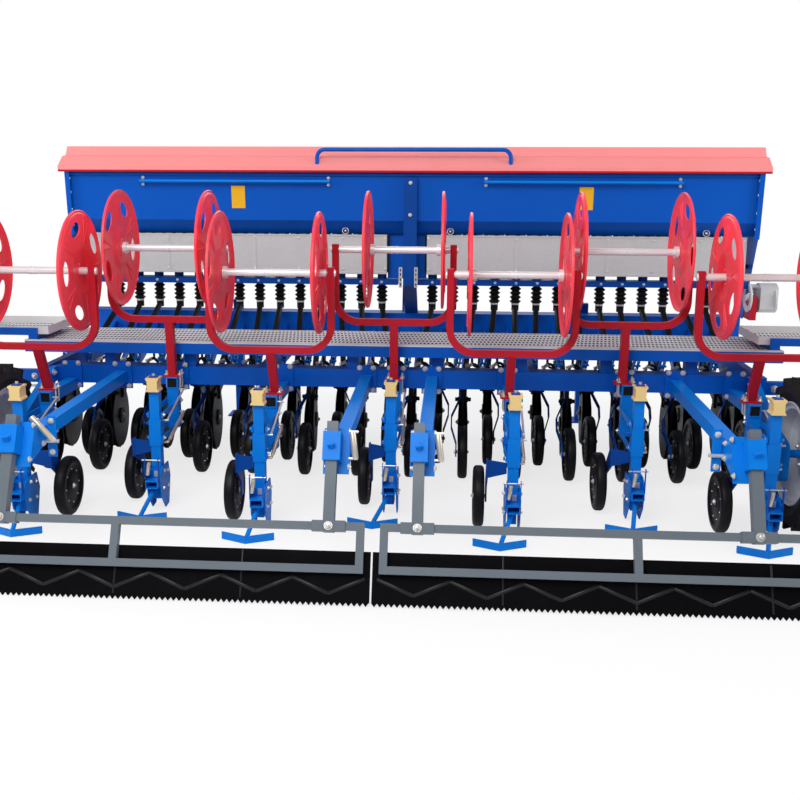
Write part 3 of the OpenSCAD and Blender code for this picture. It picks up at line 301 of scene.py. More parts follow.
def paints():
    """Every finish, made once."""
    if PAINT:
        return PAINT
    p = bpy.context.scene.drill_paint
    PAINT.update(
        blue_paint=enamel("blue_enamel", p.blue),
        light_blue_paint=enamel("light_blue_enamel", p.light_blue),
        navy_paint=enamel("dark_blue_enamel", p.navy),
        red_paint=enamel("red_enamel", p.red, 0.36),
        reel_paint=enamel("rose_enamel", p.rose, 0.34, 0.10, 0.05, 0.2),
        lid_paint=enamel("lid_enamel", p.lid, 0.42, 0.08),
        zinc_sheet=galvanised("zinc_sheet", p.zinc),
        bright_steel=plated("bright_steel", p.steel, shade(p.steel, 0.8)),
        gold_steel=plated("yellow_steel", p.gold, shade(p.steel, 1.0)),
        black_rubber=moulded("wheel_rubber", p.rubber, 0.42, shine=0.16),
        black_steel=moulded("black_iron", (0.010, 0.010, 0.011), 0.42, 180.0, 0.08, shine=0.14),
        board_rubber=moulded("board_rubber", (0.003, 0.003, 0.004), 0.5, 120.0, 0.10,
                             scuff=(0.010, 0.010, 0.011), shine=0.03),
        # Painted highlight: the ribs' rubber is lighter than the plate's, for light on the raised ribs.
        rib_rubber=moulded("rib_rubber", (0.014, 0.014, 0.015), 0.36, 120.0, 0.06, shine=0.22),
        board_paint=enamel("grey_enamel", p.board, 0.42, 0.15),
        cream_plastic=moulded("cream_plastic", p.cream, 0.42, 300.0, 0.06, 0.05),
        tyre_rubber=moulded("tyre_rubber", (0.016, 0.016, 0.016), 0.68, 200.0, 0.16,
                            scuff=(0.035, 0.033, 0.030), shine=0.15),
        rim_paint=enamel("rim_enamel", p.rim, 0.34),
        caution=enamel("caution_yellow", p.caution, 0.4, 0.2),
        coil_black=moulded("coil_enamel", (0.010, 0.010, 0.011), 0.34, 200.0, 0.05),
        plank_tread=treaded("plank_tread", p.zinc),
        shaft_zinc=galvanised("shaft_zinc", shade(p.zinc, 1.30), 0.3, 0.03),
    )
    return PAINT


# ---- Making shapes ----


def clear():
    """Leaves edit mode and selects nothing."""
    if bpy.context.object and bpy.context.object.mode != "OBJECT":
        bpy.ops.object.mode_set(mode="OBJECT")
    bpy.ops.object.select_all(action="DESELECT")


def shape(kind, name, place=(0.0, 0.0, 0.0), **how):
    """A primitive at its place, open for editing with all of it selected."""
    clear()
    getattr(bpy.ops.mesh, f"primitive_{kind}_add")(location=place, **how)
    made = bpy.context.object
    made.name = name
    bpy.ops.object.transform_apply(location=True, rotation=True, scale=True)
    bpy.ops.object.mode_set(mode="EDIT")
    bpy.ops.mesh.select_all(action="SELECT")
    return made


def closed(made, merge=False):
    """Turns the faces outwards, merges doubles where asked, and leaves edit mode."""
    bpy.ops.mesh.select_all(action="SELECT")
    if merge:
        bpy.ops.mesh.remove_doubles(threshold=1e-6)
    bpy.ops.mesh.normals_make_consistent(inside=False)
    bpy.ops.object.mode_set(mode="OBJECT")
    return made


def turned(name, steps, sides=24):
    """A round shape about Z: a ring extruded and scaled from each (radius, height) to the next."""
    radius, height = steps[0]
    made = shape("circle", name, (0.0, 0.0, height), vertices=sides, radius=radius, fill_type="NOTHING")
    for wider, higher in steps[1:]:
        bpy.ops.mesh.extrude_edges_move(TRANSFORM_OT_translate={"value": (0.0, 0.0, higher - height)})
        if wider != radius:
            factor = wider / radius
            bpy.ops.transform.resize(value=(factor, factor, 1.0), center_override=(0.0, 0.0, 0.0))
        radius, height = wider, higher
    ring = steps[0] == steps[-1]
    if not ring:
        bpy.ops.mesh.select_all(action="SELECT")
        bpy.ops.mesh.fill_holes(sides=0)
    return closed(made, ring)


def sleeve(name, inner, outer, low, high, sides=24):
    """A square-edged ring about Z."""
    corners = [(inner, low), (outer, low), (outer, high), (inner, high), (inner, low)]
    return turned(name, corners, sides)


def bent(name, radius, moves, sides=10):
    """A round rod that sets out along Z: each move is a length, or (angle, bend radius, axis)."""
    made = shape("circle", name, vertices=sides, radius=radius, fill_type="NGON")
    point, way = Vector((0.0, 0.0, 0.0)), Vector((0.0, 0.0, 1.0))
    for move in moves:
        if isinstance(move, float):
            bpy.ops.mesh.extrude_region_move(TRANSFORM_OT_translate={"value": way * move})
            point += way * move
            continue
        angle, bend, axis = move
        axis = Vector(axis)
        middle = point + axis.cross(way) * bend
        bpy.ops.mesh.spin(steps=6, angle=-angle, center=middle, axis=axis)
        turn = Matrix.Rotation(angle, 3, axis)
        point = middle + turn @ (point - middle)
        way = turn @ way
    return closed(made, True)


def block(name, low, high, edge):
    """A box between two corners with its edges taken off."""
    low, high = Vector(low), Vector(high)
    made = shape("cube", name, (low + high) / 2, size=1.0, scale=high - low)
    bpy.ops.mesh.bevel(offset=edge, segments=1, affect="EDGES")
    return closed(made)


def plate(name, outline, thickness, edge):
    """A flat plate in the X and Y plane: a disc with the outline's corners, extruded upwards."""
    made = shape("circle", name, vertices=len(outline), radius=1.0, fill_type="NGON")
    bpy.ops.object.mode_set(mode="OBJECT")
    for corner, (x, y) in zip(made.data.vertices, outline):
        corner.co = (x, y, 0.0)
    bpy.ops.object.mode_set(mode="EDIT")
    bpy.ops.mesh.select_all(action="SELECT")
    bpy.ops.mesh.extrude_region_move(TRANSFORM_OT_translate={"value": (0.0, 0.0, thickness)})
    bpy.ops.mesh.select_all(action="SELECT")
    bpy.ops.mesh.bevel(offset=edge, segments=1, affect="EDGES")
    return closed(made)


def slab(name, half_width, half_depth, thickness, edge):
    """A rectangular plate about the origin."""
    a, b = half_width, half_depth
    return plate(name, [(-a, -b), (a, -b), (a, b), (-a, b)], thickness, edge)


def joined(name, pieces):
    """One mesh from several."""
    clear()
    for piece in pieces:
        piece.select_set(True)
    bpy.context.view_layer.objects.active = pieces[0]
    if len(pieces) > 1:
        bpy.ops.object.join()
    pieces[0].name = name
    return pieces[0]


def moved(piece, matrix):
    """The piece with its mesh put through a matrix."""
    piece.data.transform(matrix)
    if matrix.is_negative:
        piece.data.flip_normals()
    return piece


def twin(master):
    """A copy of a piece, with a mesh of its own."""
    made = master.copy()
    made.data = master.data.copy()
    bpy.context.scene.collection.objects.link(made)
    return made


def copies(name, master, places):
    """The master's mesh at every place, which is a point or a matrix, joined."""
    made = [moved(twin(master), place if isinstance(place, Matrix) else Matrix.Translation(place))
            for place in places]
    bpy.data.objects.remove(master)
    return joined(name, made)


def cut(piece, cutter):
    """Takes the cutter's shape out of the piece."""
    clear()
    bpy.context.view_layer.objects.active = piece
    piece.select_set(True)
    change = piece.modifiers.new("cut", "BOOLEAN")
    change.object = cutter
    change.operation = "DIFFERENCE"
    change.solver = "EXACT"
    bpy.ops.object.modifier_apply(modifier=change.name)
    bpy.data.objects.remove(cutter)
    return piece


def shift(x, y, z):
    """A matrix that moves."""
    return Matrix.Translation((x, y, z))


def turn(degrees, axis):
    """A matrix that turns about X, Y or Z."""
    return Matrix.Rotation(math.radians(degrees), 4, axis)


def facing(point, way, spin=0.0):
    """A matrix that puts a shape's Z along a direction at a point."""
    turn = Vector(way).to_track_quat("Z", "Y").to_matrix().to_4x4()
    return Matrix.Translation(point) @ turn @ Matrix.Rotation(spin, 4, "Z")


def rod(name, start, end, radius, sides=12):
    """A straight round bar between two points, its ends chamfered."""
    start, end = Vector(start), Vector(end)
    length, edge = (end - start).length, radius * 0.2
    made = turned(name, [(radius - edge, 0.0), (radius, edge), (radius, length - edge),
                         (radius - edge, length)], sides)
    return moved(made, facing(start, end - start))


def dressed(name, pieces, finish, body="chassis", replaced=(), angle=35.0):
    """Joins pieces, and gives them their finish, smooth edges and the body that they ride."""
    piece = joined(name, pieces)
    bpy.ops.object.shade_smooth_by_angle(angle=math.radians(angle))
    piece.data.materials.clear()
    piece.data.materials.append(paints()[finish])
    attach(piece, body)
    if replaced:
        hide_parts(*replaced)


def fitted(name, master, places, finish, *how):
    """A dressed piece made of a master's copies."""
    dressed(name, [copies(name, master, places)], finish, *how)


def bolt(name, radius, height, tail=0.0):
    """A hexagon head on a washer, standing on the plane through the origin, with a thread's end."""
    head = turned(name, [(radius, 0.0), (radius, height * 0.78), (radius * 0.86, height)], 6)
    washer = turned("washer", [(radius * 1.3, -0.0005), (radius * 1.3, height * 0.2),
                               (radius * 1.2, height * 0.3)], 16)
    parts = [head, washer]
    if tail:
        parts.append(turned("thread", [(radius * 0.55, height * 0.9), (radius * 0.55, height + tail * 0.8),
                                       (radius * 0.4, height + tail)], 10))
    return joined(name, parts)


# ---- Where things are ----

# Rear face of the main beam. The tables below count Y from there, as metres.
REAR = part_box("main_beam")[1][1] - 0.100

# Tape units: place across, row (0 rear, 1 front), and offsets of the gauge wheel, the two reel discs
# and the arm
UNITS = (
    (-1.800, 0, 0.187, -0.235, 0.240, 0.008),
    (-1.200, 1, -0.152, -0.235, 0.225, 0.008),
    (-0.600, 0, -0.164, -0.237, 0.245, -0.010),
    (0.000, 1, -0.136, -0.130, 0.246, 0.008),
    (0.600, 0, -0.152, -0.205, 0.245, 0.008),
    (1.200, 1, -0.130, -0.248, 0.250, 0.026),
    (1.800, 0, -0.187, -0.190, 0.235, 0.006),
)
# Pairs are for the rear row and the front row
ARM_END = (-0.405, -0.150)
ARM_TOP = (0.585, 0.622)
FORK_Y = (-0.430, -0.125)
FLANGE_Y = (-0.330, -0.100)
REEL_Z = (1.217, 1.311)
SHANK_Y = (-0.715, -0.465)
SHANK_TOP = 0.620
GAUGE_Y = (-0.605, -0.315)
PRESS_Y = (0.195, 0.490)
ROWS = [(k - 13.5) * 0.15 for k in range(28)]
# Radius of the press wheels and the gauge wheels
WHEEL_R = 0.150
# How far a row's opener discs stand ahead of its press wheel
DISC_AHEAD = 0.335
OUTLETS = [side * (0.030 + 0.137 * k) for side in (-1, 1) for k in range(1, 15)]
# Board arms: place across of the arm and of the post
BOARD_ARMS = ((-1.510, -1.545), (-0.155, -0.178), (0.200, 0.182), (1.495, 1.530))
CLAMPS = [unit[0] + unit[5] for unit in UNITS] + [arm for arm, _ in BOARD_ARMS]


def at(x, y, z):
    """A place in the scene, with Y counted from the main beam's rear face."""
    return Vector((x, REAR + y, z))


def put(x, y, z):
    """The same place as a matrix."""
    return Matrix.Translation(at(x, y, z))


def heads(name, radius, height, rows, finish="bright_steel", body="chassis", tail=0.0):
    """Bolts at (x, y, z, way) rows, each turned a little further than the last."""
    master = bolt(name, radius, height, tail)
    places = [facing(at(x, y, z), way, 0.3 * index) for index, (x, y, z, way) in enumerate(rows)]
    fitted(name, master, places, finish, body)


WHITE = (1.0, 1.0, 1.0, 1.0)
BACK, UP, LEFT = (0, -1, 0), (0, 0, 1), (-1, 0, 0)
SIDES = ((-1, "left"), (1, "right"))


# ---- Operators ----


class DRILL_OT_finishes(bpy.types.Operator):
    """Gives every node of the frame its finish"""

    bl_idname = "drill.finishes"
    bl_label = "Frame finishes"

    def execute(self, context):
        slots = {row["node"]: row["material_slot"] for row in frame["record"]["subparts"]}
        special = {"board_plates_left": "board_rubber", "board_plates_right": "board_rubber",
                   "platform_planks": "plank_tread", "side_steps": "plank_tread",
                   "tape_shanks": "light_blue_paint", "tape_links": "light_blue_paint",
                   "tape_springs": "gold_steel", "seed_meters": "black_steel"}
        for name, piece in NODES.items():
            finish = paints()[special.get(name, slots[name])]
            piece.data.materials.clear()
            piece.data.materials.append(finish)
        return {"FINISHED"}


class DRILL_OT_frame_bolts(bpy.types.Operator):
    """Bolts of the clamp plates, and the U bolts that hold the reel forks"""

    bl_idname = "drill.frame_bolts"
    bl_label = "Frame bolts"

    def execute(self, context):
        heads("clamp_bolts", 0.011, 0.010, [
            (x + dx, -0.012, 0.605 + dz, BACK) for x in CLAMPS for dx in (-0.037, 0.037)
            for dz in (-0.062, 0.062)], tail=0.008)
        self.u_bolts()
        return {"FINISHED"}

    def u_bolts(self):
        """Two for each fork's flange, with their nuts."""
        leg, half, bend = 0.089, 0.0365, 0.010
        corner = (math.pi / 2, bend, (0, 1, 0))
        master = bent("fork_u_bolts", 0.005, [leg, corner, 2 * (half - bend), corner, leg], 8)
        moved(master, turn(180, "X") @ shift(-half, 0.0, 0.0))
        places, nuts = [], []
        for x, row, _, _, _, arm in UNITS:
            x += min(arm, 0.018)
            for dy in (-0.020, 0.020):
                y, top = FLANGE_Y[row] + dy, ARM_TOP[row]
                places.append(at(x, y, top + 0.034))
                nuts += [(x + dx, y, top + 0.010, UP) for dx in (-half, half)]
        fitted("fork_u_bolts", master, places, "bright_steel")
        heads("fork_nuts", 0.0095, 0.009, nuts)


class DRILL_OT_reels(bpy.types.Operator):
    """The tape reels: dished discs with rolled rims, oval holes and ribs, on galvanised shafts"""

    bl_idname = "drill.reels"
    bl_label = "Tape reels"

    def execute(self, context):
        disc = self.disc()
        shaft = self.shaft()
        for index, (x, row, _, left, right, _) in enumerate(UNITS):
            middle = at(x, FORK_Y[row], REEL_Z[row])
            number, body = index + 1, f"tape_reel_{index + 1}"
            discs, collars = [], []
            for place, side in ((left, -1), (right, 1)):
                lean = Matrix.Rotation(0.5 * index + 0.3 * side, 4, "X")
                spot = Matrix.Translation(middle + Vector((place, 0, 0)))
                discs.append(moved(twin(disc), spot @ lean @ turn(side * 90, "Y")))
                inside = facing(middle + Vector((place - side * 0.016, 0, 0)), (side, 0, 0))
                collars.append(moved(sleeve("collar", 0.0185, 0.030, -0.012, 0.010), inside))
            dressed(f"reel_discs_{number}", discs, "reel_paint", body)
            axle = moved(twin(shaft), Matrix.Translation(middle) @ turn(90, "Y"))
            dressed(f"reel_shaft_{number}", [axle, *collars], "shaft_zinc", body, (f"reel_{number}",))
        bpy.data.objects.remove(disc)
        bpy.data.objects.remove(shaft)
        return {"FINISHED"}

    def disc(self):
        """One disc about Z, its hub at the ground plane and its dish above."""
        r, dish, wall = 0.300, 0.012, 0.003
        # The oval holes: how many, how far out, across, and how much longer than wide
        count, hole_out, hole_r, stretch = 5, 0.214, 0.036, 1.72
        profile = [(0.0195, 0.0), (0.078, 0.0), (0.092, 0.003), (0.114, dish), (0.124, dish),
                   (0.272, dish), (0.284, dish - 0.004), (r - 0.006, 0.001), (r - 0.002, -0.001),
                   (r, 0.003), (r, 0.009), (r - 0.003, 0.012), (r - 0.008, 0.011), (r - 0.012, 0.009),
                   (0.282, dish + 0.002), (0.272, dish + wall), (0.122, dish + wall),
                   (0.112, dish + wall), (0.089, 0.006), (0.078, wall), (0.0195, wall), (0.0195, 0.0)]
        disc = turned("reel_disc", profile, 80)
        oval = shift(hole_out, 0.0, 0.0) @ Matrix.Diagonal((1.0, stretch, 1.0, 1.0))
        between = [turn(360 / count * (k + 0.5), "Z") for k in range(count)]
        hole = moved(closed(shape("cylinder", "hole", vertices=40, radius=hole_r, depth=0.08)), oval)
        disc = cut(disc, copies("holes", hole, between))
        rim = moved(sleeve("rim", 0.0355, 0.0395, 0.0, 0.005, 32), shift(0.0, 0.0, dish - 0.001) @ oval)
        rims = copies("rims", rim, between)
        rib = turned("rib", [(0.003, 0.0), (0.0055, 0.008), (0.0055, 0.122), (0.003, 0.130)], 8)
        moved(rib, shift(0.0, 0.0, dish + 0.0015) @ turn(90, "Y"))
        start = shift(0.128, 0.0, 0.0)
        ribs = copies("ribs", rib, [turn(360 / count * k, "Z") @ start @ turn(lean, "Z")
                                    for k in range(count) for lean in (-11, 11)])
        flange = turned("flange", [(0.020, -0.004), (0.046, -0.004), (0.048, -0.002), (0.048, 0.0005),
                                   (0.020, 0.0005), (0.020, -0.004)], 32)
        screws = copies("screws", bolt("screw", 0.006, 0.006),
                        [turn(90 * k, "Z") @ shift(0.036, 0.0, 0.0032) for k in range(4)])
        return joined("reel_disc", [disc, rims, ribs, flange, screws])

    def shaft(self):
        """One shaft along Z, with a nut on each end."""
        # Ends of the thick middle and of the whole shaft
        inner, outer = 0.283, 0.331
        half = [(0.0175, 0.003), (0.0195, 0.004), (0.0195, 0.018), (0.018, 0.020), (0.018, inner),
                (0.012, inner + 0.002), (0.012, outer - 0.003), (0.010, outer)]
        shaft = turned("reel_shaft", [(radius, -along) for radius, along in reversed(half)] + half, 28)
        ends = copies("ends", bolt("nut", 0.016, 0.007),
                      [facing((0, 0, side * (outer - 0.0075)), (0, 0, side)) for side in (-1, 1)])
        return joined("reel_shaft", [shaft, ends])


class DRILL_OT_narrow_wheels(bpy.types.Operator):
    """The press and gauge wheels with rounded rubber bands, and their bolts"""

    bl_idname = "drill.narrow_wheels"
    bl_label = "Press and gauge wheels"

    def execute(self, context):
        sets = [(f"press_wheels_{word}", f"press_rank_{word}", [(x, PRESS_Y[row]) for x in ROWS[row::2]])
                for row, word in enumerate(("rear", "front"))]
        sets += [(f"gauge_wheels_{word}", f"gauge_row_{word}",
                  [(unit[0] + unit[2], GAUGE_Y[row]) for unit in UNITS if unit[1] == row])
                 for row, word in enumerate(("rear", "front"))]
        for node, body, places in sets:
            spots = [put(x, y, WHEEL_R) @ turn(90, "Y") @ Matrix.Rotation(0.37 * k, 4, "Z")
                     for k, (x, y) in enumerate(places)]
            fitted("banded_" + node, self.wheel(), spots, "black_rubber", body, (node,), 50.0)
            fitted("fixings_" + node, self.fixings(), spots, "bright_steel", body)
        return {"FINISHED"}

    def wheel(self):
        # Half the width of the band
        h = 0.027
        band = [(0.106, h - 0.007), (0.110, h - 0.0045), (0.114, h - 0.001), (0.120, h), (0.128, h),
                (0.138, h - 0.0015), (0.1445, h - 0.0055), (0.1485, h - 0.011), (WHEEL_R, h - 0.018)]
        hub = [(0.0083, h - 0.004), (0.026, h - 0.004), (0.028, h - 0.007), (0.070, h - 0.007),
               (0.074, h - 0.009), (0.098, h - 0.009), (0.102, h - 0.007)]
        above = hub + band
        below = [(r, -z) for r, z in reversed(above)]
        return turned("wheel", above + below + [above[0]], 56)

    def fixings(self):
        """A ring of screws and the axle nut on each side of a wheel."""
        ring = [facing((0.086 * math.cos(a), 0.086 * math.sin(a), side * 0.018), (0, 0, side))
                for side in (-1, 1) for a in [math.radians(45 * k) for k in range(8)]]
        screws = copies("screws", bolt("screw", 0.0032, 0.003), ring)
        nuts = copies("nuts", bolt("nut", 0.011, 0.009, 0.004),
                      [facing((0, 0, side * 0.0235), (0, 0, side)) for side in (-1, 1)])
        return joined("fixings", [screws, nuts])


class DRILL_OT_openers(bpy.types.Operator):
    """Hub bolts, adjusting knobs, strap nuts and bellows clips of the seed rows"""

    bl_idname = "drill.openers"
    bl_label = "Seed row fittings"

    def execute(self, context):
        knob = turned("knob", [(0.010, 0.0), (0.017, 0.002), (0.019, 0.008), (0.017, 0.018), (0.012, 0.022),
                               (0.012, 0.034), (0.009, 0.037)], 12)
        spots, hubs, pins = [], [], []
        for index, x in enumerate(ROWS):
            y = PRESS_Y[index % 2]
            hub = y + DISC_AHEAD
            for side in (-1, 1):
                spots.append(facing(at(x + side * 0.0095, hub - 0.118, 0.408), (side, 0, 0)))
                hubs.append((x + side * 0.0262, hub, 0.2425, (side, 0, 0)))
            side = -1 if index % 2 == 0 else 1
            pins.append((x + side * 0.0415, y, WHEEL_R, (side, 0, 0)))
        fitted("adjusting_knobs", knob, spots, "black_steel")
        heads("disc_hub_bolts", 0.014, 0.009, hubs, tail=0.006)
        heads("strap_nuts", 0.010, 0.007, pins)
        band = sleeve("band", 0.0232, 0.0252, -0.006, 0.006, 20)
        screw = moved(bolt("screw", 0.004, 0.012), facing((0.010, -0.026, 0.0), LEFT))
        fitted("bellows_clips", joined("clip", [band, screw]), [at(x, 1.335, 0.858) for x in OUTLETS],
               "bright_steel")
        heads("outlet_rail_bolts", 0.007, 0.005, [(x, 1.285, 0.998, BACK) for x in OUTLETS])
        return {"FINISHED"}


class DRILL_OT_springs(bpy.types.Operator):
    """Coil springs and rods that press the seed rows down, with their hangers on the pressure bar"""

    bl_idname = "drill.springs"
    bl_label = "Row springs"

    def execute(self, context):
        self.rods()
        self.bar_fittings()
        small = self.coil(0.004, 0.009, 6, 0.0075)
        fitted("row_return_springs", small, [
            put(x + 0.018 - 0.006 * (k % 3), 0.570, 0.574) @ Matrix.Rotation(1.2, 4, "Y")
            for k, x in enumerate(ROWS)], "bright_steel")
        self.hangers()
        return {"FINISHED"}

    def rods(self):
        """Each row's rod from the pressure bar to the opener arm, with its eye, pin and coil spring."""
        turns, pitch = 15, 0.0095
        coil = self.coil(0.0045, 0.0105, turns, pitch)
        rods, coils = [], []
        for index, x in enumerate(ROWS):
            away = 1 if x > 0 else -1
            across = x - away * 0.048
            high, low = at(across, 0.674, 0.687), at(across, *self.low_end(index))
            way = low - high
            half_eye = Vector((0.010, 0, 0))
            rods += [rod("rod", high, low, 0.005, 8), rod("eye", high - half_eye, high + half_eye, 0.006, 8),
                     rod("pin", low, low + Vector((away * 0.041, 0, 0)), 0.006, 8)]
            # The coil starts a third of the way down and fills half of the rod
            stretch = Matrix.Diagonal((1, 1, way.length * 0.5 / (turns * pitch), 1))
            coils.append(facing(high + way * 0.33, way) @ stretch)
        dressed("row_spring_rods", rods, "bright_steel", "chassis", ("pressure_rods",))
        fitted("row_coil_springs", coil, coils, "coil_black")

    def hangers(self):
        """Two slats a row below the bar, with their bolts."""
        slat = block("slat", (-0.005, -0.018, -0.100), (0.005, 0.018, 0.004), 0.0015)
        fitted("row_hangers", slat, [
            put(x + aside, 0.590, 0.660) @ Matrix.Rotation(0.22, 4, "Y")
            for x in ROWS for aside in (-0.032, -0.008)], "light_blue_paint")
        heads("row_hanger_bolts", 0.007, 0.006, [
            (x - 0.02 + dz * 0.22, 0.571, 0.655 + dz, BACK) for x in ROWS for dz in (-0.030, -0.085)])

    def bar_fittings(self):
        """Ties at the pressure bar, and round loops that hang from it and stand below it."""
        tie = block("tie", (-0.022, -0.006, -0.006), (0.022, 0.006, 0.006), 0.0015)
        fitted("hanger_ties", tie, [at(x - 0.033, 0.568, 0.594) for x in ROWS], "light_blue_paint")
        quarter = (math.pi / 2, 0.030, (0, 1, 0))
        for name, radius, leg, places in (
            ("bar_loops", 0.0075, 0.066, [put(x + 0.052, 0.640, 0.656) @ turn(180, "X") for x in ROWS[:-1]]),
            ("row_arcs", 0.0085, 0.004, [at(x + 0.030, 0.585 + 0.018 * (k % 3), 0.548 + 0.008 * (k % 2))
                                         for k, x in enumerate(ROWS)]),
        ):
            fitted(name, bent("loop", radius, [leg, quarter, quarter, leg], 8), places, "coil_black")

    def low_end(self, index):
        """Where a row's rod meets its opener arm."""
        y = (0.730, 0.980)[index % 2]
        # The arm rises from its rear end to its front end
        rear, front = PRESS_Y[index % 2] + DISC_AHEAD + 0.140, 1.450
        low, high = 0.4025, 0.6575
        return y, low + (y - rear) / (front - rear) * (high - low)

    def coil(self, wire, radius, turns, pitch):
        """A spring about Z: a small ring put through a screw."""
        made = shape("circle", "coil", vertices=6, radius=wire * 0.5, fill_type="NOTHING")
        bpy.ops.transform.rotate(value=math.pi / 2, orient_axis="X", center_override=(0.0, 0.0, 0.0))
        bpy.ops.transform.translate(value=(radius, 0.0, 0.0))
        bpy.ops.object.mode_set(mode="OBJECT")
        change = made.modifiers.new("coil", "SCREW")
        change.angle = math.tau
        change.iterations = turns
        change.screw_offset = pitch
        change.steps = change.render_steps = 12
        change.use_normal_calculate = True
        bpy.ops.object.modifier_apply(modifier=change.name)
        bpy.ops.object.mode_set(mode="EDIT")
        bpy.ops.mesh.select_all(action="SELECT")
        bpy.ops.mesh.fill_holes(sides=0)
        return closed(made)


class DRILL_OT_tape_units(bpy.types.Operator):
    """Fittings of the tape units: guides' caps, rollers, yokes, rods and bolts"""

    bl_idname = "drill.tape_units"
    bl_label = "Tape unit fittings"

    def execute(self, context):
        caps, rollers, rods, yokes, tags, bolts, sides, plugs = [], [], [], [], [], [], [], []
        for x, row, _, _, _, arm in UNITS:
            x, y, end = x + arm, SHANK_Y[row], ARM_END[row] + 0.030
            # The roller stands behind the shank
            back = y - 0.108
            caps.append(at(x, y - 0.012, SHANK_TOP + 0.070))
            rollers.append(put(x - 0.024, back, 0.204) @ Matrix.Rotation(0.16, 4, "Y"))
            plugs.append(at(x, ARM_END[row] + 0.014, ARM_TOP[row] - 0.030))
            tags.append(at(x + 0.006, y - 0.0612, 0.183))
            bolts.append((x - 0.030, y, 0.4475, LEFT))
            rods += [rod("pin", at(x - 0.050, back, 0.282), at(x + 0.046, back, 0.282), 0.0038, 10),
                     rod("screw", at(x, y - 0.012, SHANK_TOP + 0.076), at(x, y - 0.012, SHANK_TOP + 0.088),
                         0.008, 6),
                     rod("link rod", at(x + 0.052, end, 0.552), at(x + 0.050, y + 0.036, 0.462), 0.0055, 10)]
            rods += [rod("cross bolt", at(x + 0.026, along, z), at(x + 0.062, along, z), 0.005, 10)
                     for along, z in ((end, 0.552), (y + 0.012, 0.462))]
            for e in (-1, 1):
                yokes.append(put(x + e * 0.0330, back, 0.172) @ turn(90, "Y"))
                sides += [(x + e * 0.0372, y + dy, z, (e, 0, 0)) for dy, z in (
                    (-0.020, 0.205), (0.045, 0.190), (-0.045, 0.120), (0.040, 0.110))]
                sides += [(x + e * 0.0380, along, z, (e, 0, 0)) for z in (0.373, 0.493) for along in (y, end)]
        plug = block("plug", (-0.0249, -0.001, -0.0249), (0.0249, 0.001, 0.0249), 0.0005)
        fitted("arm_plugs", plug, plugs, "black_steel")
        fitted("guide_caps", slab("cap", 0.021, 0.021, 0.006, 0.0012), caps, "navy_paint")
        roller = turned("roller", [(0.0035, 0.0), (0.0095, 0.0), (0.0105, 0.002), (0.0105, 0.066),
                                   (0.0095, 0.068), (0.0035, 0.068), (0.0035, 0.0)], 16)
        fitted("tape_rollers", roller, rollers, "gold_steel")
        dressed("tape_unit_rods", rods, "bright_steel")
        yoke = plate("yoke", [(-0.116, -0.011), (0.0, -0.011), (0.0, 0.011), (-0.116, 0.011),
                              (-0.124, 0.006), (-0.124, -0.006)], 0.003, 0.0006)
        fitted("roller_yokes", moved(yoke, shift(0.0, 0.0, -0.0015)), yokes, "blue_paint")
        fitted("unit_tags", slab("tag", 0.011, 0.001, 0.030, 0.0004), tags, "zinc_sheet")
        heads("tape_unit_bolts", 0.0085, 0.007, sides, tail=0.004)
        heads("sleeve_screws", 0.009, 0.020, bolts, "blue_paint")
        return {"FINISHED"}


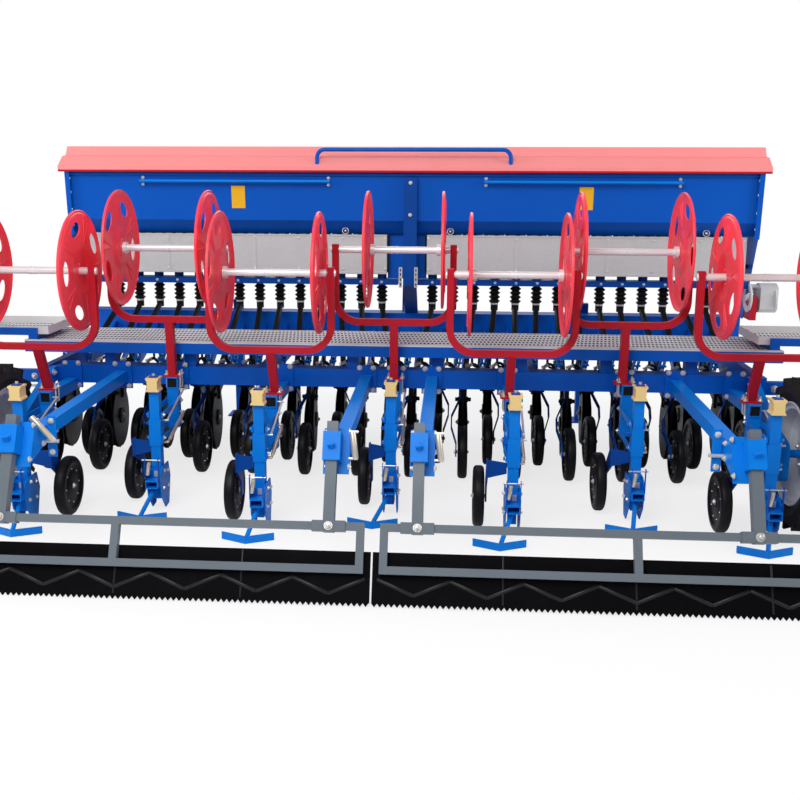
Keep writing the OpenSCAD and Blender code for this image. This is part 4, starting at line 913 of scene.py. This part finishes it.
class DRILL_OT_boards(bpy.types.Operator):
    """Fittings of the drag boards: ribs on the plates, tension springs, T bolts and pins"""

    bl_idname = "drill.boards"
    bl_label = "Drag board fittings"

    lean = math.radians(25)

    def execute(self, context):
        for side, word in SIDES:
            body = f"drag_board_{word}"
            self.ribs(word, body)
            rows, blue, grey, springs, rods, plates = [], [], [], [], [], []
            for arm, post in BOARD_ARMS:
                if arm * side < 0:
                    continue
                middle_arm = abs(arm) < 1.0
                inward = 1 if middle_arm else -side
                cheek = arm + inward * 0.043
                # One bolt stands on the frame's bar at the post's foot, the other on the post's sleeve
                grey.append((post, *self.on_post(0.431, 0.0222), self.back()))
                blue.append((post, *self.on_post(0.104, 0.0360), self.back()))
                rows += [(arm + e * 0.0432, *self.on_post(down, -0.026), (e, 0, 0))
                         for down in (0.034, 0.182) for e in (-1, 1)]
                rows += [(arm + e * 0.0432, y, z, (e, 0, 0)) for e in (-1, 1)
                         for y, z in ((-1.225, 0.605), (-1.230, 0.540))]
                if arm < -1.0:
                    y = -1.260
                    springs.append((at(-1.500, y, 0.665), at(-1.405, y, 0.560)))
                    rods.append(rod("pin", at(cheek, y, 0.655), at(-1.485, y, 0.655), 0.006, 10))
                if middle_arm:
                    ends = [self.on_post(0.036, -0.020), self.on_post(0.146, -0.036)]
                    springs.append((at(arm + inward * 0.056, *ends[0]), at(arm + inward * 0.072, *ends[1])))
                    rods += [rod("pin", at(cheek, *end), at(arm + inward * 0.082, *end), 0.006, 10)
                             for end in ends]
                    continue
                a, b = sorted((arm + inward * 0.048, arm + inward * 0.088))
                plates.append(block("plate", at(a, -1.192, 0.470), at(b, -1.184, 0.655), 0.002))
                rows += [((a + b) / 2, -1.192, z, BACK) for z in (0.492, 0.632)]
                end = at(arm + inward * 0.105, -1.205, 0.545)
                rods.append(rod("screw", at(cheek, -1.205, 0.545), end, 0.008))
            heads(f"bracket_bolts_{word}", 0.0105, 0.008, rows, body=body, tail=0.005)
            self.t_bolts(f"sleeve_t_bolts_{word}", blue, body)
            heads(f"frame_bolts_{word}", 0.014, 0.012, grey, body=body, tail=0.006)
            tubes = [self.spring(a, b - a) for a, b in springs]
            dressed(f"board_springs_{word}", tubes, "gold_steel", body)
            dressed(f"board_spring_pins_{word}", rods, "bright_steel", body)
            dressed(f"bracket_plates_{word}", plates, "light_blue_paint", body)
        return {"FINISHED"}

    def spring(self, start, way):
        """A close-wound tension spring along a way, as a smooth tube."""
        eye, r, end = 0.0035, 0.0135, way.length
        steps = [(eye, 0.0), (r - 0.001, 0.0), (r, 0.003), (r, end - 0.003), (r - 0.001, end), (eye, end),
                 (eye, 0.0)]
        return moved(turned("tube", steps, 20), facing(start, way))

    def back(self):
        """The way that a leaned board faces."""
        return (0.0, -math.cos(self.lean), math.sin(self.lean))

    def on_post(self, down, out):
        """Y and Z at a distance down the post, and out from its axis to the rear."""
        y = -1.331 - down * math.sin(self.lean) - out * math.cos(self.lean)
        z = 0.688 - down * math.cos(self.lean) + out * math.sin(self.lean)
        return y, z

    def t_bolts(self, name, rows, body):
        """Clamp bolts with a cross grip."""
        stem = turned("stem", [(0.017, 0.0), (0.017, 0.010), (0.009, 0.012), (0.009, 0.022)], 6)
        grip = moved(turned("grip", [(0.005, -0.016), (0.0065, -0.014), (0.0065, 0.014), (0.005, 0.016)], 12),
                     shift(0.0, 0.0, 0.023) @ turn(90, "Y"))
        places = [facing(at(x, y, z), way, 0.2) for x, y, z, way in rows]
        fitted(name, joined("t bolt", [stem, grip]), places, "light_blue_paint", body)

    def ribs(self, word, body):
        """Zigzag ribs raised on the rear of a plate, the seams of its lengths, and its screws."""
        low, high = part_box(f"board_plates_{word}")
        length, margin = high[0] - low[0], 0.020
        count, seams, screws = 14, 3, 8
        step = (length - 2 * margin) / count
        levels = (0.110, 0.048)
        lean = Matrix.Rotation(-self.lean, 4, "X")
        # Lower rear edge of the plate
        foot = Vector((low[0] + margin, low[1], low[2] + 0.010 * math.sin(self.lean)))
        turns = [(k * step, 0.0, levels[k % 2]) for k in range(count + 1)]
        ribs = [rod("rib", start, end, 0.0085, 8) for start, end in zip(turns, turns[1:])]
        for k in range(1, seams + 1):
            x = length * k / (seams + 1) - margin
            ribs.append(rod("seam", (x, 0.001, 0.022), (x, 0.001, 0.214), 0.0045, 8))
        flat = Matrix.Diagonal((1.0, 0.7, 1.0, 1.0))
        made = moved(joined("ribs", ribs), Matrix.Translation(foot) @ lean @ flat)
        # The ribs take the lighter rubber: a painted highlight.
        dressed(f"board_ribs_{word}", [made], "rib_rubber", body)
        row = foot + lean.to_3x3() @ Vector((0.0, -0.0002, 0.150))
        first, gap = 0.10 - margin, (length - 0.20) / (screws - 1)
        spots = [facing(row + Vector((first + k * gap, 0.0, 0.0)), self.back()) for k in range(screws)]
        fitted(f"board_screws_{word}", bolt("screw", 0.008, 0.005), spots, "bright_steel", body)


class DRILL_OT_ground_wheels(bpy.types.Operator):
    """Hub caps, wheel bolts and valves of the ground wheels, and their cross members"""

    bl_idname = "drill.ground_wheels"
    bl_label = "Ground wheel fittings"

    def execute(self, context):
        for side, word in SIDES:
            low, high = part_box(f"rim_{word}")
            middle = Matrix.Translation([(a + b) / 2 for a, b in zip(low, high)])
            body = f"ground_wheel_{word}"
            inner, outer = middle @ turn(-side * 90, "Y"), middle @ turn(side * 90, "Y")
            screws = copies("screws", bolt("screw", 0.010, 0.010, 0.006), [
                place @ turn(60 * k, "Z") @ shift(0.052, 0.0, height)
                for place, height in ((inner, 0.0205), (outer, 0.0405)) for k in range(6)])
            cap = moved(turned("cap", [(0.034, 0.0), (0.034, 0.018), (0.028, 0.030), (0.010, 0.034)]),
                        outer @ shift(0.0, 0.0, 0.041))
            valve = moved(turned("valve", [(0.004, 0.0), (0.0045, 0.030), (0.003, 0.034)], 10),
                          outer @ Matrix.Rotation(0.4, 4, "Z") @ shift(0.196, 0.0, 0.010))
            dressed(f"wheel_bolts_{word}", [screws, cap, valve], "bright_steel", body)
            bead = turned("bead", [
                (0.2455, 0.060), (0.2495, 0.064), (0.2535, 0.070), (0.2545, 0.076), (0.2515, 0.080),
                (0.2465, 0.0795), (0.2415, 0.074), (0.2385, 0.066), (0.2455, 0.060)], 72)
            fitted(f"rim_flanges_{word}", bead, (inner, outer), "rim_paint", body)
        bars, rods, rows = [], [], []
        for side in (-1, 1):
            a, b = sorted((side * 1.957, side * 2.355))
            bars.append(block("bar", at(a, 0.020, 0.547), at(b, 0.070, 0.618), 0.006))
            rods.append(rod("rod", at(side * 1.90, 0.008, 0.532), at(side * 2.35, 0.008, 0.532), 0.008, 16))
            rows += [(side * x, 0.020, 0.583, BACK) for x in (2.02, 2.16, 2.30)]
            rows += [(side * 1.872, y, z, (-side, 0, 0)) for y, z in (
                (-0.075, 0.625), (-0.130, 0.570), (-0.560, 0.440), (-0.600, 0.300), (-0.470, 0.330))]
        heads("wheel_arm_bolts", 0.014, 0.012, rows, tail=0.008)
        dressed("wheel_cross_bars", bars, "blue_paint")
        dressed("wheel_cross_rods", rods, "bright_steel")
        return {"FINISHED"}


class DRILL_OT_hopper_trim(bpy.types.Operator):
    """Seams, bolts, latches and blank plates of the hopper, its lid and the metering covers"""

    bl_idname = "drill.hopper_trim"
    bl_label = "Hopper trim"

    def execute(self, context):
        self.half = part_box("hopper_shell")[1][0]
        self.ends()
        self.rails()
        self.brace()
        self.latches()
        self.plates()
        self.covers()
        self.lid()
        return {"FINISHED"}

    def wall(self, z):
        """Y of the hopper's rear wall, counted as the tables do."""
        return 1.160 + 0.022 * (1.730 - z) / 0.330

    def ends(self):
        rows = [row for side in (-1, 1) for z in (1.66, 1.57, 1.46, 1.36) for row in (
            (side * (self.half - 0.017), self.wall(z) - 0.002, z, BACK),
            (side * self.half, 1.190, z, (side, 0, 0)))]
        heads("end_plate_bolts", 0.009, 0.006, rows)
        folds = [moved(block("fold", (-0.016, -0.003, 0.0), (0.016, 0.0, 0.420), 0.001),
                       put(side * (self.half - 0.017), 1.1585, 1.300) @ turn(3.8, "X")) for side in (-1, 1)]
        edge = self.half - 0.001
        folds.append(block("rim", at(-edge, 1.1508, 1.679), at(edge, 1.1598, 1.703), 0.003))
        dressed("hopper_folds", folds, "blue_paint")

    def rails(self):
        """Lugs and nuts of the grab rails' ends."""
        z = 1.646
        ends = [side * x for side in (-1, 1) for x in (0.500, 1.703)]
        lug = slab("lug", 0.011, 0.030, 0.003, 0.0008)
        fitted("rail_lugs", lug, [facing(at(x, self.wall(z) - 0.001, z), BACK) for x in ends], "blue_paint")
        heads("grab_rail_nuts", 0.008, 0.006, [
            (x, self.wall(z) - 0.004, z + dz, BACK) for x in ends for dz in (-0.021, 0.021)])

    def brace(self):
        """Bolts of the centre brace, the panel behind it and its slotted straps."""
        heads("brace_bolts", 0.009, 0.007, [(0.025, 1.1195, z, BACK) for z in (1.64, 1.44)])
        panel = block("panel", at(-0.128, 1.300, 1.020), at(0.128, 1.304, 1.312), 0.001)
        dressed("middle_panel", [panel], "blue_paint")
        places = (-0.034, 0.065)
        straps = [block("strap", at(x - 0.011, 1.1172, 0.980), at(x + 0.011, 1.1202, 1.110), 0.0008)
                  for x in places]
        dressed("brace_straps", straps, "zinc_sheet")
        # The straps' slots are black blocks: painted shade in the openings.
        slot = block("slot", (-0.0035, -0.0006, -0.009), (0.0035, 0.0006, 0.009), 0.0004)
        slots = [at(x, 1.1168, z) for x in places for z in (1.000, 1.032, 1.064, 1.092)]
        fitted("strap_slots_painted_shade", slot, slots, "black_steel")

    def latches(self):
        """Ring latches where the covers hang from the hopper."""
        stem = turned("stem", [(0.006, -0.012), (0.007, 0.006), (0.004, 0.008)], 12)
        latch = joined("latch", [sleeve("ring", 0.017, 0.022, 0.0, 0.005), stem])
        rows = [facing(at(x, 1.238, 1.332), BACK) for x in (-0.40, 0.28, 1.90)]
        fitted("ring_latches", latch, rows, "bright_steel")

    def plates(self):
        blank = slab("blank", 0.044, 0.071, 0.0012, 0.0004)
        square = Vector((0.0, -1.0, -0.022 / 0.330))
        z = 1.546
        rows = [facing(at(x, self.wall(z) - 0.0008, z), square) for x in (-1.085, 1.130)]
        fitted("blank_plates", blank, rows, "caution")

    def covers(self):
        """Joints, folded edges and screws of the galvanised covers."""
        low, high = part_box("metering_covers")
        # Rear face, bottom and top of the covers
        face, bottom, top = low[1], low[2], high[2]
        parts, rows = [], []
        for side in (-1, 1):
            a, b = sorted((side * 0.130, side * (self.half - 0.050)))
            back = face + 0.001
            parts += [block("hem", (a, face - 0.005, bottom - 0.001), (b, back, bottom + 0.016), 0.002),
                      block("hem", (a, face - 0.004, top - 0.012), (b, back, top + 0.001), 0.0015)]
            for k in range(8):
                x = min(max(a + (b - a) * k / 7, a + 0.011), b - 0.011)
                if k in (0, 2, 4, 7):
                    parts.append(block("joint", (x - 0.010, face - 0.0035, bottom + 0.012),
                                       (x + 0.010, back, top - 0.010), 0.001))
                rows += [(x, face - 0.0035 - REAR, z, BACK) for z in (bottom + 0.030, top - 0.026)]
        dressed("cover_hems", parts, "zinc_sheet")
        # Black blocks along the covers' top edge: painted shade in the slots there.
        slot = block("slot", (-0.014, -0.0012, -0.003), (0.014, 0.001, 0.006), 0.0006)
        slots = [shift(x, face - 0.004, top + 0.003) for x in OUTLETS[1:14] + OUTLETS[15:]]
        slots += [place @ shift(0.0685, 0.0, 0.0) for place in slots]
        fitted("cover_slots_painted_shade", slot, slots, "black_steel")
        heads("cover_screws", 0.006, 0.004, rows)

    def lid(self):
        low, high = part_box("lid")
        # The hem along the lid's lower front edge takes the darker red enamel: painted shade along the lid's
        # lower edge.
        hem = block("hem", (low[0] + 0.001, low[1] - 0.003, low[2] - 0.002),
                    (high[0] - 0.001, low[1] + 0.006, low[2] + 0.011), 0.002)
        dressed("lid_hem_painted_shade", [hem], "red_paint", "hopper_lid")


class DRILL_OT_platform(bpy.types.Operator):
    """Edges and screws of the platform"""

    bl_idname = "drill.platform"
    bl_label = "Platform fittings"

    def execute(self, context):
        low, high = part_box("platform_planks")
        heads("plank_screws", 0.007, 0.003, [
            (side * (0.06 + k * 0.323), y - REAR, high[2], UP) for side in (-1, 1) for k in range(7)
            for y in (low[1] + 0.020, high[1] - 0.020)])
        lips = []
        for side in (-1, 1):
            a, b = sorted((side * 0.004, side * (high[0] - 0.002)))
            lips += [block("lip", (a, y, high[2] - 0.001), (b, y + 0.008, high[2] + 0.004), 0.001)
                     for y in (low[1], high[1] - 0.008)]
        dressed("plank_lips", lips, "zinc_sheet")
        return {"FINISHED"}


class DRILL_OT_drive(bpy.types.Operator):
    """Covers and bolts of the drive at the right end"""

    bl_idname = "drill.drive"
    bl_label = "Drive fittings"

    def execute(self, context):
        low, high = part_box("gearbox")
        rim = turned("rim", [(0.060, 0.0), (0.093, 0.0), (0.094, 0.002), (0.094, 0.010), (0.088, 0.013),
                             (0.060, 0.010), (0.060, 0.0)], 48)
        boss = turned("boss", [(0.022, 0.0), (0.022, 0.016), (0.018, 0.020), (0.006, 0.020)])
        centre = at(0.0, 1.300, 0.920)
        faces = [shift(x, centre.y, centre.z) @ turn(angle, "Y")
                 for x, angle in ((low[0] + 0.002, -90), (high[0] - 0.020, 90))]
        screws = [face @ turn(60 * k + 30, "Z") @ shift(0.078, 0.0, 0.010)
                  for face in faces for k in range(6)]
        fitted("drive_screws", bolt("screw", 0.007, 0.006), screws, "bright_steel")
        fitted("drive_covers", joined("cover", [rim, boss]), faces, "rim_paint")
        return {"FINISHED"}


class DRILL_OT_stage(bpy.types.Operator):
    """Adds the floor, the lamps, the world and the camera"""

    bl_idname = "drill.stage"
    bl_label = "Studio"

    def execute(self, context):
        studio = context.scene.drill_studio
        self.floor()
        self.world(studio)
        self.lamps(studio)
        self.camera(studio)
        context.scene.view_settings.view_transform = "Standard"
        return {"FINISHED"}

    def floor(self):
        bpy.ops.mesh.primitive_plane_add(size=60.0, location=(0.0, 0.0, -0.0005))
        floor = bpy.context.object
        floor.name = "studio_floor"
        finish = Finish("studio_floor", Roughness=0.9, Base_Color=(0.86, 0.86, 0.86, 1.0))
        rays = finish.node("LightPath")
        glow = finish.node("Emission", Color=WHITE, Strength=1.0)
        axes = finish.node("SeparateXYZ", Vector=finish.place())
        across, along = finish.out(axes, 0), finish.out(axes, 1)
        # To the camera the floor is mostly a white glow: three quarters at the drill, and all of it far out
        reach = (across * across * 0.6 + along * along) ** 0.5
        far = ((reach - 1.9) * 0.7).clamped()
        seen = finish.out(rays, "Is Camera Ray") * (far * 0.25 + 0.75)
        mixer = finish.node("MixShader")
        for slot, value in zip(mixer.inputs, (seen, finish.out(finish.shader), finish.out(glow))):
            fill(slot, value)
        fill(finish.tree.nodes["Material Output"].inputs["Surface"], finish.out(mixer))
        floor.data.materials.append(finish.material)

    def world(self, studio):
        """White for the camera, and dimmer as a light."""
        world = bpy.data.worlds.new("studio")
        bpy.context.scene.world = world
        world.use_nodes = True
        tree = world.node_tree
        back = tree.nodes["Background"]
        seen = Val(tree, tree.nodes.new("ShaderNodeLightPath").outputs["Is Camera Ray"])
        fill(back.inputs["Strength"], seen * (1.0 - studio.sky) + studio.sky)
        fill(back.inputs["Color"], WHITE)

    def lamps(self, studio):
        low, high = CAD_BOX
        middle = Vector(((low[0] + high[0]) / 2, (low[1] + high[1]) / 2, 0.6))
        rows = (
            # name, place, size, watts
            ("key", (-1.2, -4.6, 4.6), 3.5, studio.key),
            ("left", (-5.5, -0.5, 3.0), 3.0, studio.fill),
            ("right", (5.5, -1.0, 3.0), 3.0, studio.fill),
            ("back", (0.0, 5.5, 4.0), 4.0, studio.fill),
        )
        for name, place, size, watts in rows:
            lamp = bpy.data.lights.new("lamp_" + name, "AREA")
            lamp.size = size
            lamp.energy = watts
            holder = bpy.data.objects.new("lamp_" + name, lamp)
            holder.location = place
            holder.rotation_euler = (middle - Vector(place)).to_track_quat("-Z", "Y").to_euler()
            bpy.context.scene.collection.objects.link(holder)

    def camera(self, studio):
        eye = bpy.data.cameras.new("camera")
        eye.sensor_width = 36.0
        eye.lens = studio.lens
        eye.shift_x, eye.shift_y = studio.shift
        holder = bpy.data.objects.new("camera", eye)
        # Level and looking along Y, then leaned, tilted down and turned to the right
        aim = [Matrix.Rotation(angle, 4, axis) for angle, axis in (
            (-studio.yaw, "Z"), (math.pi / 2 - studio.pitch, "X"), (studio.roll, "Z"))]
        holder.matrix_world = Matrix.Translation(studio.eye) @ aim[0] @ aim[1] @ aim[2]
        bpy.context.scene.collection.objects.link(holder)
        bpy.context.scene.camera = holder


class DRILL_PT_panel(bpy.types.Panel):
    """The drill's steps in the sidebar"""

    bl_idname = "DRILL_PT_panel"
    bl_label = "Grain Drill"
    bl_space_type = "VIEW_3D"
    bl_region_type = "UI"
    bl_category = "Grain Drill"

    def draw(self, context):
        for step in STEPS:
            self.layout.operator(step.bl_idname)


STEPS = (DRILL_OT_finishes, DRILL_OT_frame_bolts, DRILL_OT_reels, DRILL_OT_narrow_wheels, DRILL_OT_openers,
         DRILL_OT_springs, DRILL_OT_tape_units, DRILL_OT_boards, DRILL_OT_ground_wheels,
         DRILL_OT_hopper_trim, DRILL_OT_platform, DRILL_OT_drive, DRILL_OT_stage)
GROUPS = (DrillPaint, DrillStudio)


def register():
    for kind in (*GROUPS, *STEPS, DRILL_PT_panel):
        bpy.utils.register_class(kind)
    bpy.types.Scene.drill_paint = bpy.props.PointerProperty(type=DrillPaint)
    bpy.types.Scene.drill_studio = bpy.props.PointerProperty(type=DrillStudio)


def unregister():
    del bpy.types.Scene.drill_studio
    del bpy.types.Scene.drill_paint
    for kind in reversed((*GROUPS, *STEPS, DRILL_PT_panel)):
        bpy.utils.unregister_class(kind)


def main():
    register()
    for step in STEPS:
        group, name = step.bl_idname.split(".")
        getattr(getattr(bpy.ops, group), name)()


if __name__ == "__main__":
    main()
